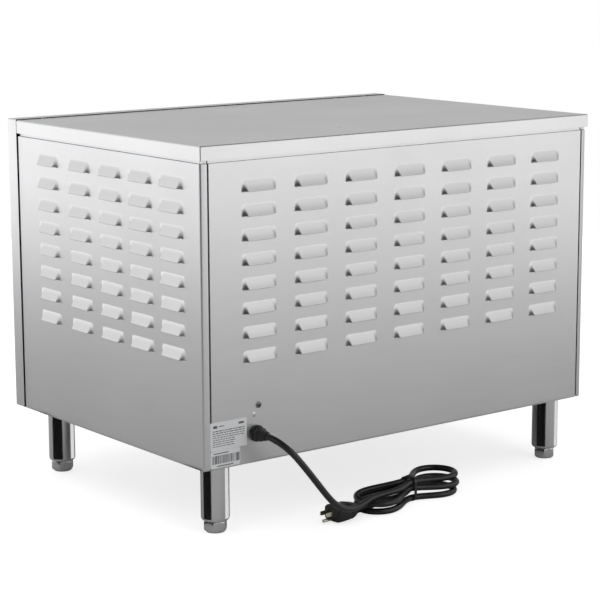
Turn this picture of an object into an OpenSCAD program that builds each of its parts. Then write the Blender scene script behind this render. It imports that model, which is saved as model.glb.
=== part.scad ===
// Countertop heated food holding cabinet: louvred outer shell, insulated liner with wire shelves,
// two glazed doors, a control bay under the heated cavity, four adjustable legs and a tied supply cord.
// Millimetres. X to the right seen from the doors, doors towards -Y, Z up, floor at Z = 0.

/* [Cabinet] */
// Width over the top cover
body_w = 746; // [730:1:770]
// Depth from the front frame's face to the rear
body_d = 523; // [515:1:560]
// Height from the floor to the top of the front frame
total_h = 559; // [555:1:580]
// Height of the legs, from the floor to the base
leg_h = 102; // [90:1:110]
// Thickness of the outer sheets
sheet = 1.2; // [1:0.1:1.5]
// Depth of the front frame
frame_depth = 26; // [24:1:30]
// Height of the rim around the top cover
cover_rim = 20; // [15:1:25]

/* [Louvres] */
// Length of one louvre
louvre_l = 60; // [50:1:66]
// Height of one louvre's hood
louvre_h = 16; // [12:1:18]
// How far the hood stands out of the sheet
louvre_out = 7; // [5:0.5:8]
// Rows of louvres
louvre_rows = 8; // [6:1:8]
// Distance between rows
row_pitch = 34.5; // [30:0.5:36]
// Distance between columns on the rear
rear_pitch = 92.4; // [85:0.1:96]
// How much higher the sides' rows stand than the rear's
side_lift = 5; // [0:1:8]

/* [Doors] */
// Depth of a door
door_t = 22; // [20:1:25]
// Distance from the door's edge to its pivot
pivot_edge = 6; // [5:0.5:7]
// Radius of a hinge pin
pin_r = 3; // [2.5:0.5:3]
// Reach of a handle in front of its door
handle_reach = 38; // [32:1:40]

/* [Legs] */
// Outer diameter of a leg tube
leg_d = 41.3; // [38:0.1:42]
// Distance between the flats of a foot
foot_af = 32; // [28:1:34]
// Height of a foot's hexagon
foot_h = 17; // [14:1:18]
// Radius of a foot's stem
stem_r = 8; // [6:0.5:9]

/* [Cord] */
// Diameter of the supply cord
cord_d = 9.5; // [8:0.5:11]

/* [Hidden] */

fit_gap = 0.3;            // between pieces on different bodies
run_gap = 0.05;           // radial running clearance
shell_gap = 0.2;          // between two fixed pieces of the shell
face_gap = 0.1;           // between two fixed pieces that lie face to face
end_gap = 0.05;           // at either end of a cross member
seam = 1.5;               // how far the panels sit inside the cover's rim
flange_w = 10.3;          // side panel's flange on the rear
joggle = 1.6;             // side of the step in the rear panel's edge
seam_gap = 2;             // open seam beside the rear panel
gasket_t = 3;             // door gasket

// Places along Y. The origin is midway between the handles' fronts and the louvres' tips.
door_gap = gasket_t + fit_gap;
cab_y = ((door_gap + door_t + handle_reach) - (louvre_out - seam)) / 2;
front_y = cab_y - body_d / 2;
frame_back_y = front_y + frame_depth;
rear_y = cab_y + body_d / 2;
panel_y = rear_y - seam;             // outer face of the rear panel
panel_x = body_w / 2 - seam;         // outer face of a side panel
door_back_y = front_y - door_gap;
door_front_y = door_back_y - door_t;
pivot_y = door_front_y + pivot_edge;

// Places along Z
cover_z = total_h - sheet;           // top of the cover, just below the frame's top
panel_top_z = cover_z - sheet - shell_gap;
cav_z0 = leg_h + 112;                // floor of the cavity
cav_z1 = total_h - 32;               // ceiling of the cavity
cav_x = 325;                         // half the cavity's width
cav_y1 = rear_y - 45;                // back of the cavity
divider_z = cav_z0 - 22;
liner_t = 1;
bay_mid_z = (leg_h + divider_z) / 2;
first_row = 147;                     // lowest louvre lip on the rear, above the base

// Doors, for the right-hand one
door_x0 = 1.5;
door_x1 = cav_x + 18;
door_z0 = cav_z0 - 14;
door_z1 = cav_z1 + 18;
door_cx = (door_x0 + door_x1) / 2;
door_cz = (door_z0 + door_z1) / 2;
win_w = 226;
win_h = 236;
pivot_x = door_x1 - pivot_edge;
handle_x = 22;
handle_l = 170;

// Shelves and pan
shelf_z = [cav_z0 + 80, cav_z0 + 160, cav_z0 + 238];
rail_w = 14;
rail_h = 12;
shelf_w = 640;
shelf_y0 = frame_back_y + 4;
shelf_y1 = cav_y1 - 6;
element_y = [cab_y + 62, cab_y + 142];
element_z = cav_z0 + 16;
element_r = 4;
element_x = 270;
bend_r = 22;

// Controls, from left to right on the panel
therm_x = -215;
lamp_x = -75;
switch_x = 40;
knob_x = 200;

// Legs
leg_x = 328;
leg_ys = [front_y + 63.5, rear_y - 38.5];
stem_top = 50;
insert_top = 47;

// Rear fittings
gland_x = 281;
gland_z = 144;
earth_x = 277;
earth_z = 185;
plate_screws = [for (x = [-311, 311]) for (z = [leg_h + 12, divider_z - 12]) [x, z]];
pan_screws = [for (x = [-300, -100, 100, 300]) for (y = [frame_back_y + 8, panel_y - 10]) [x, y]];
gland_end_y = panel_y + 26;

// Route of the supply cord from the gland to the hank, chosen by hand
cord_route = [[gland_x, gland_end_y - 4, gland_z], [281, 322, 142], [274, 331, 133], [265, 336, 122],
              [253, 341, 107], [240, 346, 91], [224, 350, 73], [208, 353, 56], [190, 354, 36],
              [172, 352, 26], [154, 348, 23], [133, 343, 22], [112, 336, 22]];
hank_left = [74, 319];
hank_waist = [9, 304];
hank_right = [-45, 293];
hank_turn = atan2(hank_left[1] - hank_right[1], hank_left[0] - hank_right[0]);
hank_top = 38;
hank_waist_r = 16;
plug_face = [172, 324, 13];
plug_l = 45;
plug_w = 34;
plug_h = 24;
plug_turn = 4;

// ---------- helpers ----------

module block(x, y, z) { // box from [x0, x1], [y0, y1], [z0, z1]
    translate([x[0], y[0], z[0]]) cube([x[1] - x[0], y[1] - y[0], z[1] - z[0]]);
}

module rod(a, b, r, fn = 24) { // round bar along one axis from point a to point b
    d = b - a;
    l = norm(d);
    translate(a) rotate([0, acos(d[2] / l), atan2(d[1], d[0])]) cylinder(h = l, r = r, $fn = fn);
}

module on_side(s) { // s = 1 right, -1 left
    if (s < 0) mirror([1, 0, 0]) children();
    else children();
}

module y_disc(p, r, l, fn = 48) { // round piece at p, running l along +Y
    translate(p) rotate([-90, 0, 0]) cylinder(h = l, r = r, $fn = fn);
}

function unit(v) = v / norm(v);
function along(p, i) = unit(p[min(i + 1, len(p) - 1)] - p[max(i - 1, 0)]);
function across(t) = unit(cross(t, abs(t[2]) > 0.9 ? [0, 1, 0] : [0, 0, 1]));

module sweep_tube(p, r, sides = 10) { // round tube along the points p
    n = len(p);
    rings = [for (i = [0 : n - 1]) let (t = along(p, i), u = across(t), v = cross(t, u))
             for (k = [0 : sides - 1]) p[i] + r * (u * cos(360 * k / sides) + v * sin(360 * k / sides))];
    sides_f = [for (i = [0 : n - 2]) for (k = [0 : sides - 1]) let (k2 = (k + 1) % sides)
               [i * sides + k, (i + 1) * sides + k, (i + 1) * sides + k2, i * sides + k2]];
    start_f = [[for (k = [0 : sides - 1]) k]];
    end_f = [[for (k = [sides - 1 : -1 : 0]) (n - 1) * sides + k]];
    polyhedron(rings, concat(sides_f, start_f, end_f), convexity = 6);
}

// ---------- outer shell ----------

function row_z(i) = leg_h + first_row + i * row_pitch;
rear_shift = -3.5;                         // the rear's grid stands a little off the middle
side_steps = [-144.2, -54, 29.9, 109.5, 188]; // columns on a side, from the middle of the depth
rear_cols = [for (j = [-3 : 3]) j * rear_pitch + rear_shift];
side_cols = [for (d = side_steps) cab_y + d];

module hood_profile(gap) { // section across a louvre: outward, up
    if (gap == 0) polygon([[-0.6, 0], [louvre_out, 0], [louvre_out - 0.6, 3], [0, louvre_h], [-0.6, louvre_h]]);
    else polygon([[-3, 0], [0, 0], [0, -1], [louvre_out - gap, -1], [louvre_out - gap - 0.6, 3],
                  [0, louvre_h - 2.6], [-3, louvre_h - 2.6]]);
}

module louvre(gap = 0) { // sheet's outer face at Y = 0, lip at Z = 0
    l = louvre_l - 2 * gap;
    translate([-l / 2, 0, 0]) rotate([90, 0, 90]) linear_extrude(l) hood_profile(gap);
}

module louvres(cols, gap = 0) {
    for (c = cols) for (i = [0 : louvre_rows - 1]) translate([c, 0, row_z(i)]) louvre(gap);
}

module top_cover() {
    color("silver") difference() {
        block([-body_w / 2, body_w / 2], [frame_back_y + shell_gap, rear_y], [cover_z - cover_rim, cover_z]);
        block([-body_w / 2 + sheet, body_w / 2 - sheet], [frame_back_y - 1, rear_y - sheet],
              [cover_z - cover_rim - 1, cover_z - sheet]);
        block([-32, -2], [frame_back_y + 27, frame_back_y + 29.5], [cover_z - 3, cover_z + 1]);
        for (p = [[-36, frame_back_y + 38], [64, cab_y + 177]])
            translate([p[0], p[1], cover_z - 3]) cylinder(h = 5, r = 1.6, $fn = 24);
    }
}

module side_panel(s) { // sheet with a flange along the rear and 5 columns of louvres
    y0 = frame_back_y + shell_gap;
    color("lightgray") on_side(s) difference() {
        union() {
            block([panel_x - sheet, panel_x], [y0, panel_y], [leg_h, panel_top_z]);
            block([panel_x - flange_w, panel_x], [panel_y - sheet, panel_y], [leg_h, panel_top_z]);
            block([panel_x - flange_w, panel_x], [y0, y0 + sheet], [leg_h, panel_top_z]);
            translate([panel_x, 0, side_lift]) rotate([0, 0, -90]) louvres([for (c = side_cols) -c]);
        }
        translate([panel_x, 0, side_lift]) rotate([0, 0, -90]) louvres([for (c = side_cols) -c], sheet);
        block([panel_x - 3, panel_x + 1], [panel_y - 17, panel_y - 12], [leg_h - 1, leg_h + 4]);
    }
}
module side_panel_left() { side_panel(-1); }
module side_panel_right() { side_panel(1); }

module rear_panel() { // sheet between the side flanges, joggled in behind them
    x1 = panel_x - flange_w - seam_gap;
    xj = panel_x - sheet - 2 * shell_gap;
    yj = panel_y - sheet - shell_gap;
    zj = leg_h + sheet + 2 * shell_gap;
    color("lightgray") difference() {
        union() {
            block([-x1, x1], [panel_y - sheet, panel_y], [leg_h, panel_top_z]);
            for (s = [0, 1]) mirror([s, 0, 0]) {
                block([x1 - joggle, xj], [yj - sheet, yj], [zj, panel_top_z]);
                block([x1 - joggle, x1], [yj - sheet, panel_y], [zj, panel_top_z]);
            }
            translate([0, panel_y, 0]) louvres(rear_cols);
        }
        translate([0, panel_y, 0]) louvres(rear_cols, sheet);
        y_disc([gland_x, panel_y - 5, gland_z], 9, 10);
        y_disc([earth_x, panel_y - 5, earth_z], 2.55, 10, 24);
    }
}

module base_pan() { // tray with low flanges, closed under the control bay
    x1 = panel_x - sheet - fit_gap;
    y = [frame_back_y + joggle, panel_y - sheet - fit_gap - joggle];
    flange = 16;
    color("gray") difference() {
        block([-x1, x1], y, [leg_h, leg_h + flange]);
        block([-x1 + sheet, x1 - sheet], [y[0] + sheet, y[1] - sheet], [leg_h + sheet, leg_h + flange + 1]);
        for (p = pan_screws) translate([p[0], p[1], leg_h - 1]) cylinder(h = 4, r = 2, $fn = 24);
    }
}

// ---------- front frame ----------

module channel(x, z) { // folded member: face and four returns, open to the rear
    difference() {
        block(x, [front_y, frame_back_y], z);
        block([x[0] + sheet, x[1] - sheet], [front_y + sheet, frame_back_y + 1], [z[0] + sheet, z[1] - sheet]);
    }
}

module frame_stile(s) {
    color("silver") on_side(s) channel([cav_x, body_w / 2], [leg_h, total_h]);
}
module frame_stile_left() { frame_stile(-1); }
module frame_stile_right() { frame_stile(1); }
module frame_header() {
    color("silver") channel([-cav_x + end_gap, cav_x - end_gap], [cav_z1, total_h]);
}
module frame_divider() {
    color("silver") channel([-cav_x + end_gap, cav_x - end_gap], [divider_z, cav_z0]);
}

module control_panel() { // plate that closes the bay, with the holes for the controls
    z = [leg_h, divider_z - face_gap];
    color("silver") difference() {
        channel([-cav_x + end_gap, cav_x - end_gap], z);
        y_disc([therm_x, front_y - 5, bay_mid_z], 26, 12);
        y_disc([lamp_x, front_y - 5, bay_mid_z], 6.5, 12);
        y_disc([knob_x, front_y - 5, bay_mid_z], 5, 12);
        block([switch_x - 11, switch_x + 11], [front_y - 5, front_y + 7], [bay_mid_z - 15, bay_mid_z + 15]);
        for (p = plate_screws) y_disc([p[0], front_y - 1, p[1]], 2.2, 4, 24);
    }
}

// ---------- heated cavity ----------

module liner_top() {
    color("whitesmoke")
        block([-cav_x, cav_x], [frame_back_y + face_gap, cav_y1], [cav_z1, cav_z1 + liner_t]);
}
module liner_side(s) {
    color("whitesmoke") on_side(s)
        block([cav_x, cav_x + liner_t], [frame_back_y + face_gap, cav_y1], [cav_z0 - liner_t, cav_z1 + liner_t]);
}
module liner_left() { liner_side(-1); }
module liner_right() { liner_side(1); }
module liner_back() {
    color("whitesmoke") block([-cav_x - liner_t, cav_x + liner_t], [cav_y1, cav_y1 + liner_t],
                              [cav_z0 - liner_t, cav_z1 + liner_t]);
}
module liner_floor() {
    color("whitesmoke") difference() {
        block([-cav_x, cav_x], [frame_back_y + face_gap, cav_y1], [cav_z0 - liner_t, cav_z0]);
        element_holes(5);
    }
}
module element_holes(r) {
    for (y = element_y) translate([element_x, y, cav_z0 - 40]) cylinder(h = 80, r = r, $fn = 32);
}

module insulation() { // slabs of mineral wool against the liner, with an air space behind the louvres
    t = 22;
    t_top = 24;
    t_floor = 18;
    y = [frame_back_y + 3, cav_y1];
    color("khaki") {
        block([-cav_x, cav_x], y, [cav_z1 + liner_t, cav_z1 + liner_t + t_top]);
        for (s = [-1, 1]) on_side(s)
            block([cav_x + liner_t, cav_x + liner_t + t], y, [cav_z0, cav_z1]);
        block([-cav_x, cav_x], [cav_y1 + liner_t, cav_y1 + liner_t + t], [cav_z0, cav_z1]);
        difference() {
            block([-cav_x, cav_x], y, [cav_z0 - liner_t - t_floor, cav_z0 - liner_t]);
            element_holes(6);
        }
    }
}

module shelf_rails() { // six angle strips, three on each side wall
    color("silver") for (s = [-1, 1]) for (z = shelf_z) on_side(s) {
        block([cav_x - rail_w, cav_x], [shelf_y0, shelf_y1], [z - sheet, z]);
        block([cav_x - sheet, cav_x], [shelf_y0, shelf_y1], [z - rail_h, z]);
    }
}

module shelf(z) { // wire shelf: rim wire, two supports and cross wires
    rim_r = 3;
    wire_r = 1.75;
    wire_pitch = 32;
    x1 = shelf_w / 2 - rim_r;
    ys = [shelf_y0 + 2 + rim_r, shelf_y1 - 2 - rim_r];
    zc = z + rim_r;
    color("lightsteelblue") translate([0, 0, zc]) {
        for (y = ys) rod([-x1, y, 0], [x1, y, 0], rim_r);
        for (x = [-x1, x1]) rod([x, ys[0], 0], [x, ys[1], 0], rim_r);
        for (x = [-x1, x1]) for (y = ys) translate([x, y, 0]) sphere(r = rim_r + 0.2, $fn = 24);
        for (k = [-9 : 9]) rod([k * wire_pitch, ys[0], 0.6], [k * wire_pitch, ys[1], 0.6], wire_r, 16);
    }
}
module shelf_lower() { shelf(shelf_z[0]); }
module shelf_middle() { shelf(shelf_z[1]); }
module shelf_upper() { shelf(shelf_z[2]); }

module water_pan() { // open pan for moist heat, in front of the element
    x = [-170, 170];
    y = [frame_back_y + 30, frame_back_y + 200];
    z = [cav_z0, cav_z0 + 52];
    lip = 8;
    wall = 1;
    color("silver") difference() {
        union() {
            block(x, y, z);
            block([x[0] - lip, x[1] + lip], [y[0] - lip, y[1] + lip], [z[1] - sheet, z[1]]);
        }
        block([x[0] + wall, x[1] - wall], [y[0] + wall, y[1] - wall], [z[0] + wall, z[1] + 1]);
    }
}

module elbow(p, turn) { // quarter bend of the element about Z, its centre at p
    translate(p) rotate([0, 0, turn]) rotate_extrude(angle = 90, $fn = 48)
        translate([bend_r, 0]) circle(r = element_r, $fn = 24);
}

module heating_element() { // tubular loop: two runs across the floor, both ends down into the bay
    x0 = -element_x;
    x1 = element_x;
    y0 = element_y[0];
    y1 = element_y[1];
    z = element_z;
    z_end = cav_z0 - 34;
    color("dimgray") {
        for (y = [y0, y1]) {
            rod([x0 + bend_r, y, z], [x1 - bend_r, y, z], element_r);
            translate([x1 - bend_r, y, z - bend_r]) rotate([90, 0, 0]) rotate_extrude(angle = 90, $fn = 48)
                translate([bend_r, 0]) circle(r = element_r, $fn = 24);
            rod([x1, y, z_end], [x1, y, z - bend_r], element_r);
        }
        rod([x0, y0 + bend_r, z], [x0, y1 - bend_r, z], element_r);
        elbow([x0 + bend_r, y0 + bend_r, z], 180);
        elbow([x0 + bend_r, y1 - bend_r, z], 90);
    }
}

module element_brackets() { // three low bridges that carry the element
    top = element_z - element_r;
    half_w = 6;
    past = 14;
    color("silver") for (x = [-180, 0, 180])
        block([x - half_w, x + half_w], [element_y[0] - past, element_y[1] + past], [cav_z0, top]);
}

// ---------- doors ----------

module door_shell(s) { // front skin with folded edges, window and pivot bosses
    y = [door_front_y, door_back_y - sheet];
    color("silver") on_side(s) difference() {
        union() {
            difference() {
                block([door_x0, door_x1], y, [door_z0, door_z1]);
                block([door_x0 + sheet, door_x1 - sheet], [door_front_y + sheet, door_back_y],
                      [door_z0 + sheet, door_z1 - sheet]);
            }
            for (z = [[door_z0, door_z0 + 16], [door_z1 - 16, door_z1]])
                block([pivot_x - 8, door_x1], [door_front_y, door_front_y + 14], z);
        }
        window_cut();
        for (z = [door_z0 - 1, door_z1 - 14])
            translate([pivot_x, pivot_y, z]) cylinder(h = 15, r = pin_r + run_gap, $fn = 48);
    }
}

module window_cut() {
    block([door_cx - win_w / 2, door_cx + win_w / 2], [door_front_y - 1, door_back_y + 1],
          [door_cz - win_h / 2, door_cz + win_h / 2]);
}

module door_inner(s) { // flat plate that closes the back of the door
    color("gainsboro") on_side(s) difference() {
        block([door_x0, door_x1], [door_back_y - sheet, door_back_y], [door_z0, door_z1]);
        window_cut();
    }
}

module door_glass(s) { // two panes with an air space
    pane_t = 4;
    half_w = win_w / 2 + 8;
    half_h = win_h / 2 + 8;
    color("lightcyan", 0.4) on_side(s) {
        for (y = [door_front_y + sheet, door_back_y - sheet - pane_t])
            block([door_cx - half_w, door_cx + half_w], [y, y + pane_t], [door_cz - half_h, door_cz + half_h]);
    }
}

module door_gasket(s) { // square ring on the inner plate
    wide = 9;
    x = [door_x0 + 2, door_x1 - 8];
    z = [door_z0 + 4, door_z1 - 4];
    color("dimgray") on_side(s) difference() {
        block(x, [door_back_y, door_back_y + gasket_t], z);
        block([x[0] + wide, x[1] - wide], [door_back_y - 1, door_back_y + gasket_t + 1],
              [z[0] + wide, z[1] - wide]);
    }
}

module door_handle(s) { // bar on two posts with rounded corners
    r = 5.5;
    bend = 12;
    y_bar = door_front_y - handle_reach + r;
    z = [door_cz - handle_l / 2, door_cz + handle_l / 2];
    color("gainsboro") on_side(s) translate([handle_x, 0, 0]) {
        rod([0, y_bar, z[0] + bend], [0, y_bar, z[1] - bend], r);
        for (m = [0, 1]) translate([0, 0, m * 2 * door_cz]) mirror([0, 0, m]) {
            rod([0, y_bar + bend, z[0]], [0, door_front_y, z[0]], r);
            rod([0, door_front_y - 3, z[0]], [0, door_front_y, z[0]], 9);
            translate([0, y_bar + bend, z[0] + bend]) rotate([0, -90, 0]) rotate([0, 0, 180])
                rotate_extrude(angle = 90, $fn = 48) translate([bend, 0]) circle(r = r, $fn = 24);
        }
    }
}

module door_left_shell() { door_shell(-1); }
module door_left_inner() { door_inner(-1); }
module door_left_glass() { door_glass(-1); }
module door_left_gasket() { door_gasket(-1); }
module door_left_handle() { door_handle(-1); }
module door_right_shell() { door_shell(1); }
module door_right_inner() { door_inner(1); }
module door_right_glass() { door_glass(1); }
module door_right_gasket() { door_gasket(1); }
module door_right_handle() { door_handle(1); }

module hinge_brackets(s) { // plates above and below the door, each with its pivot pin
    plate = 3;
    color("gray") on_side(s) for (m = [0, 1])
        translate([0, 0, m * 2 * door_cz]) mirror([0, 0, m]) {
            z0 = door_z0 - 1 - plate;
            block([pivot_x - 9, pivot_x + 5], [pivot_y, front_y], [z0, z0 + plate]);
            translate([pivot_x, pivot_y, z0]) cylinder(h = plate, r = 5, $fn = 32);
            translate([pivot_x, pivot_y, z0]) cylinder(h = plate + 12, r = pin_r, $fn = 48);
        }
}
module hinge_brackets_left() { hinge_brackets(-1); }
module hinge_brackets_right() { hinge_brackets(1); }

module door_catch() { // magnet block under the header, for both doors
    color("dimgray") block([-32, 32], [front_y + face_gap, frame_back_y - 4], [cav_z1 - 13, cav_z1]);
}

// ---------- controls ----------

module thermostat() { // body behind the panel and its bush through the hole
    color("ivory") difference() {
        union() {
            block([knob_x - 22, knob_x + 22], [front_y + sheet, front_y + 34],
                  [bay_mid_z - 17, bay_mid_z + 17]);
            y_disc([knob_x, front_y - 1.5, bay_mid_z], 4.9, 6);
        }
        y_disc([knob_x, front_y - 5, bay_mid_z], 3 + run_gap, 30);
    }
}

module thermostat_knob() { // grip with a pointer rib, and its shaft
    color("black") {
        y_disc([knob_x, front_y - 2.2, bay_mid_z], 3, 24);
        y_disc([knob_x, front_y - 6, bay_mid_z], 25, 3.8, 64);
        y_disc([knob_x, front_y - 24, bay_mid_z], 19, 18.5, 64);
        block([knob_x - 4, knob_x + 4], [front_y - 27, front_y - 5.5], [bay_mid_z - 18, bay_mid_z + 18]);
    }
}

module switch_body() { // snap-in housing with a pocket for the rocker
    color("black") difference() {
        union() {
            block([switch_x - 13, switch_x + 13], [front_y - 2, front_y], [bay_mid_z - 17, bay_mid_z + 17]);
            block([switch_x - 10.8, switch_x + 10.8], [front_y, front_y + 24],
                  [bay_mid_z - 14.8, bay_mid_z + 14.8]);
        }
        block([switch_x - 8, switch_x + 8], [front_y - 3, front_y + 15], [bay_mid_z - 13, bay_mid_z + 13]);
        rod([switch_x - 9.5, front_y + 5, bay_mid_z], [switch_x + 9.5, front_y + 5, bay_mid_z], 1.5 + run_gap);
    }
}

module switch_rocker() { // see-saw key, at rest with its lower end pressed
    tilt = 8;
    color("red") translate([switch_x, front_y + 5, bay_mid_z]) rotate([tilt, 0, 0]) {
        rod([-9, 0, 0], [9, 0, 0], 1.5);
        translate([-7.5, 0, 0]) rotate([90, 0, 90]) linear_extrude(15)
            polygon([[-9, -11.5], [-7, 0], [-9, 11.5], [2.5, 11], [5, 5], [5, -5], [2.5, -11]]);
    }
}

module pilot_lamp() { // bezel, lens dome and barrel
    color("red") translate([lamp_x, front_y, bay_mid_z]) rotate([90, 0, 0])
        rotate_extrude($fn = 48) polygon([[0, -18], [6.2, -18], [6.2, 0], [9, 0], [9, 2], [6.5, 2], [6, 4],
                                          [4.5, 5.6], [2.3, 6.6], [0, 7]]);
}

module thermometer_case() { // round case through the panel, open dish with a pivot bush
    color("silver") translate([therm_x, front_y, bay_mid_z]) rotate([90, 0, 0]) {
        rotate_extrude($fn = 64)
            polygon([[1 + run_gap, -14], [25.7, -14], [25.7, 0], [31, 0], [31, 4], [27, 4], [27, 1],
                     [24, 1], [24, -8], [3, -8], [3, -7], [1 + run_gap, -7]]);
    }
}

module thermometer_needle() { // pointer on its spindle
    color("black") translate([therm_x, front_y, bay_mid_z]) rotate([90, 0, 0]) {
        translate([0, 0, -13]) cylinder(h = 7.2, r = 1, $fn = 32);
        translate([0, 0, -6.4]) cylinder(h = 1.4, r = 3, $fn = 32);
        rotate([0, 0, 225]) translate([-4, -0.7, -6.1]) cube([23, 1.4, 0.8]);
    }
}

module terminal_block() {
    color("ivory") difference() {
        block([235, 305], [panel_y - 78, panel_y - 56], [leg_h + sheet, leg_h + sheet + 20]);
        for (k = [0 : 3]) translate([244 + k * 17, panel_y - 67, leg_h + sheet + 8])
            cylinder(h = 20, r = 4, $fn = 24);
    }
}

module wiring() { // leads in the bay: gland to terminals, terminals to controls and element
    zt = leg_h + sheet + 14;
    yt = panel_y - 80.5;
    color("firebrick") {
        sweep_tube([[gland_x, panel_y - 22, gland_z], [gland_x, panel_y - 34, gland_z - 3],
                    [278, panel_y - 44, gland_z - 10], [274, panel_y - 53, 132]], 3.5, 8);
        sweep_tube([[260, yt, zt], [256, yt - 40, zt], [240, 60, zt - 4], [220, -80, zt - 4],
                    [205, front_y + 70, zt], [200, front_y + 37, bay_mid_z]], 2.2, 8);
        sweep_tube([[244, yt, zt], [236, yt - 50, zt - 4], [150, 30, zt - 6], [70, -110, zt - 4],
                    [45, front_y + 60, zt + 6], [switch_x, front_y + 27, bay_mid_z]], 2.2, 8);
        sweep_tube([[250, yt, zt + 3], [264, yt - 22, 150], [element_x, element_y[1], cav_z0 - 40]], 2, 8);
    }
}

// ---------- legs ----------

corner_r = 5;
leg_profile = concat([[stem_r + run_gap, foot_h]],
    [for (a = [-90 : 18 : 0])
        [leg_d / 2 - corner_r + corner_r * cos(a), foot_h + corner_r + corner_r * sin(a)]],
    [[leg_d / 2, leg_h], [0, leg_h], [0, leg_h - 3], [leg_d / 2 - 1.5, leg_h - 3],
     [leg_d / 2 - 1.5, insert_top], [stem_r + run_gap, insert_top]]);

module leg(sx, y) {
    color("silver") translate([sx * leg_x, y, 0]) rotate_extrude($fn = 64) polygon(leg_profile);
}
module foot(sx, y) { // hexagon with a stem that screws into the leg
    hex_r = foot_af / 2 / cos(30);
    color("lightgray") translate([sx * leg_x, y, 0]) rotate([0, 0, 15]) {
        translate([0, 0, 2]) cylinder(h = foot_h - fit_gap - 2, r = hex_r, $fn = 6);
        cylinder(h = 2.2, r = foot_af / 2 - 2, $fn = 48);
        cylinder(h = stem_top, r = stem_r, $fn = 48);
    }
}
module leg_front_left() { leg(-1, leg_ys[0]); }
module leg_front_right() { leg(1, leg_ys[0]); }
module leg_rear_left() { leg(-1, leg_ys[1]); }
module leg_rear_right() { leg(1, leg_ys[1]); }
module foot_front_left() { foot(-1, leg_ys[0]); }
module foot_front_right() { foot(1, leg_ys[0]); }
module foot_rear_left() { foot(-1, leg_ys[1]); }
module foot_rear_right() { foot(1, leg_ys[1]); }

// ---------- fasteners ----------

module pan_screw(p, turn, r = 4) { // low round head on a short shank, head outwards along +Z before the turn
    translate(p) rotate(turn) rotate_extrude($fn = 32)
        polygon([[0, -5], [r * 0.5, -5], [r * 0.5, 0], [r, 0], [r * 0.85, r * 0.4], [r * 0.4, r * 0.6],
                 [0, r * 0.65]]);
}
module body_screws() {
    color("silver") {
        pan_screw([earth_x, panel_y, earth_z], [-90, 0, 0], 4);
        for (p = plate_screws) pan_screw([p[0], front_y, p[1]], [90, 0, 0], 4);
        for (p = pan_screws) pan_screw([p[0], p[1], leg_h], [180, 0, 0], 3.5);
    }
}

// ---------- supply cord ----------

module cord_gland() { // flange, hexagon and tapered strain relief around the cord
    l = gland_end_y - panel_y;
    r = cord_d / 2;
    color("black") translate([gland_x, panel_y, gland_z]) rotate([-90, 0, 0]) {
        rotate_extrude($fn = 48)
            polygon([[r, -14], [8.8, -14], [8.8, 0], [12, 0], [12, 4], [9.5, 4], [9.5, l - 8], [8, l - 2],
                     [6.5, l], [r, l]]);
        translate([0, 0, 3.5]) difference() {
            cylinder(h = 8, r = 12, $fn = 6);
            translate([0, 0, -1]) cylinder(h = 10, r = 9, $fn = 48);
        }
    }
}

module supply_cord() { // free stretch from the gland to the hank
    color("black") sweep_tube(cord_route, cord_d / 2, 10);
}

module cord_hank() { // the folded length, drawn in where the tie holds it
    color("dimgray") linear_extrude(hank_top) {
        hull() {
            translate(hank_left) circle(r = 38, $fn = 40);
            translate(hank_waist) circle(r = hank_waist_r, $fn = 40);
        }
        hull() {
            translate(hank_right) circle(r = 34, $fn = 40);
            translate(hank_waist) circle(r = hank_waist_r, $fn = 40);
        }
    }
}

module cord_tie() { // band round the waist
    w = hank_waist_r + 4;
    color("black") translate([hank_waist[0], hank_waist[1], 0]) rotate([0, 0, hank_turn]) difference() {
        block([-3, 3], [-w, w], [0, hank_top + 1.5]);
        block([-4, 4], [-w + 1.5, w - 1.5], [-1, hank_top]);
    }
}

module at_plug() {
    translate(plug_face) rotate([0, 0, plug_turn]) children();
}

module plug_body() { // moulded body and tapered tail, blades towards +X
    color("black") at_plug() {
        hull() {
            block([-4, 0], [-plug_w / 2, plug_w / 2], [-plug_h / 2, plug_h / 2]);
            block([-30, -26], [-plug_w / 2, plug_w / 2], [-plug_h / 2 + 1, plug_h / 2 - 1]);
            block([-plug_l, -plug_l + 2], [-9, 9], [-8, 8]);
        }
        rod([-60, 0, -3], [-plug_l, 0, -3], 6);
    }
}

module plug_blades() { // two flat blades and the round earth pin
    color("gainsboro") at_plug() {
        for (y = [-6.35, 6.35]) block([0, 17.5], [y - 0.75, y + 0.75], [-0.8, 5.5]);
        rod([0, 0, -7.5], [19, 0, -7.5], 2.4);
    }
}

top_cover();
side_panel_left();
side_panel_right();
rear_panel();
base_pan();
frame_stile_left();
frame_stile_right();
frame_header();
frame_divider();
control_panel();
liner_top();
liner_left();
liner_right();
liner_back();
liner_floor();
insulation();
shelf_rails();
shelf_lower();
shelf_middle();
shelf_upper();
water_pan();
heating_element();
element_brackets();
door_left_shell();
door_left_inner();
door_left_glass();
door_left_gasket();
door_left_handle();
door_right_shell();
door_right_inner();
door_right_glass();
door_right_gasket();
door_right_handle();
hinge_brackets_left();
hinge_brackets_right();
door_catch();
thermostat();
thermostat_knob();
switch_body();
switch_rocker();
pilot_lamp();
thermometer_case();
thermometer_needle();
terminal_block();
wiring();
leg_front_left();
leg_front_right();
leg_rear_left();
leg_rear_right();
foot_front_left();
foot_front_right();
foot_rear_left();
foot_rear_right();
body_screws();
cord_gland();
supply_cord();
cord_hank();
cord_tie();
plug_body();
plug_blades();
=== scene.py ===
"""Countertop heated food holding cabinet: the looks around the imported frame.

Metres in Blender; sizes below are in millimetres and are scaled where a mesh is made.
X to the right seen from the doors, doors towards -Y, Z up, floor at Z = 0.
"""

import math

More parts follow.
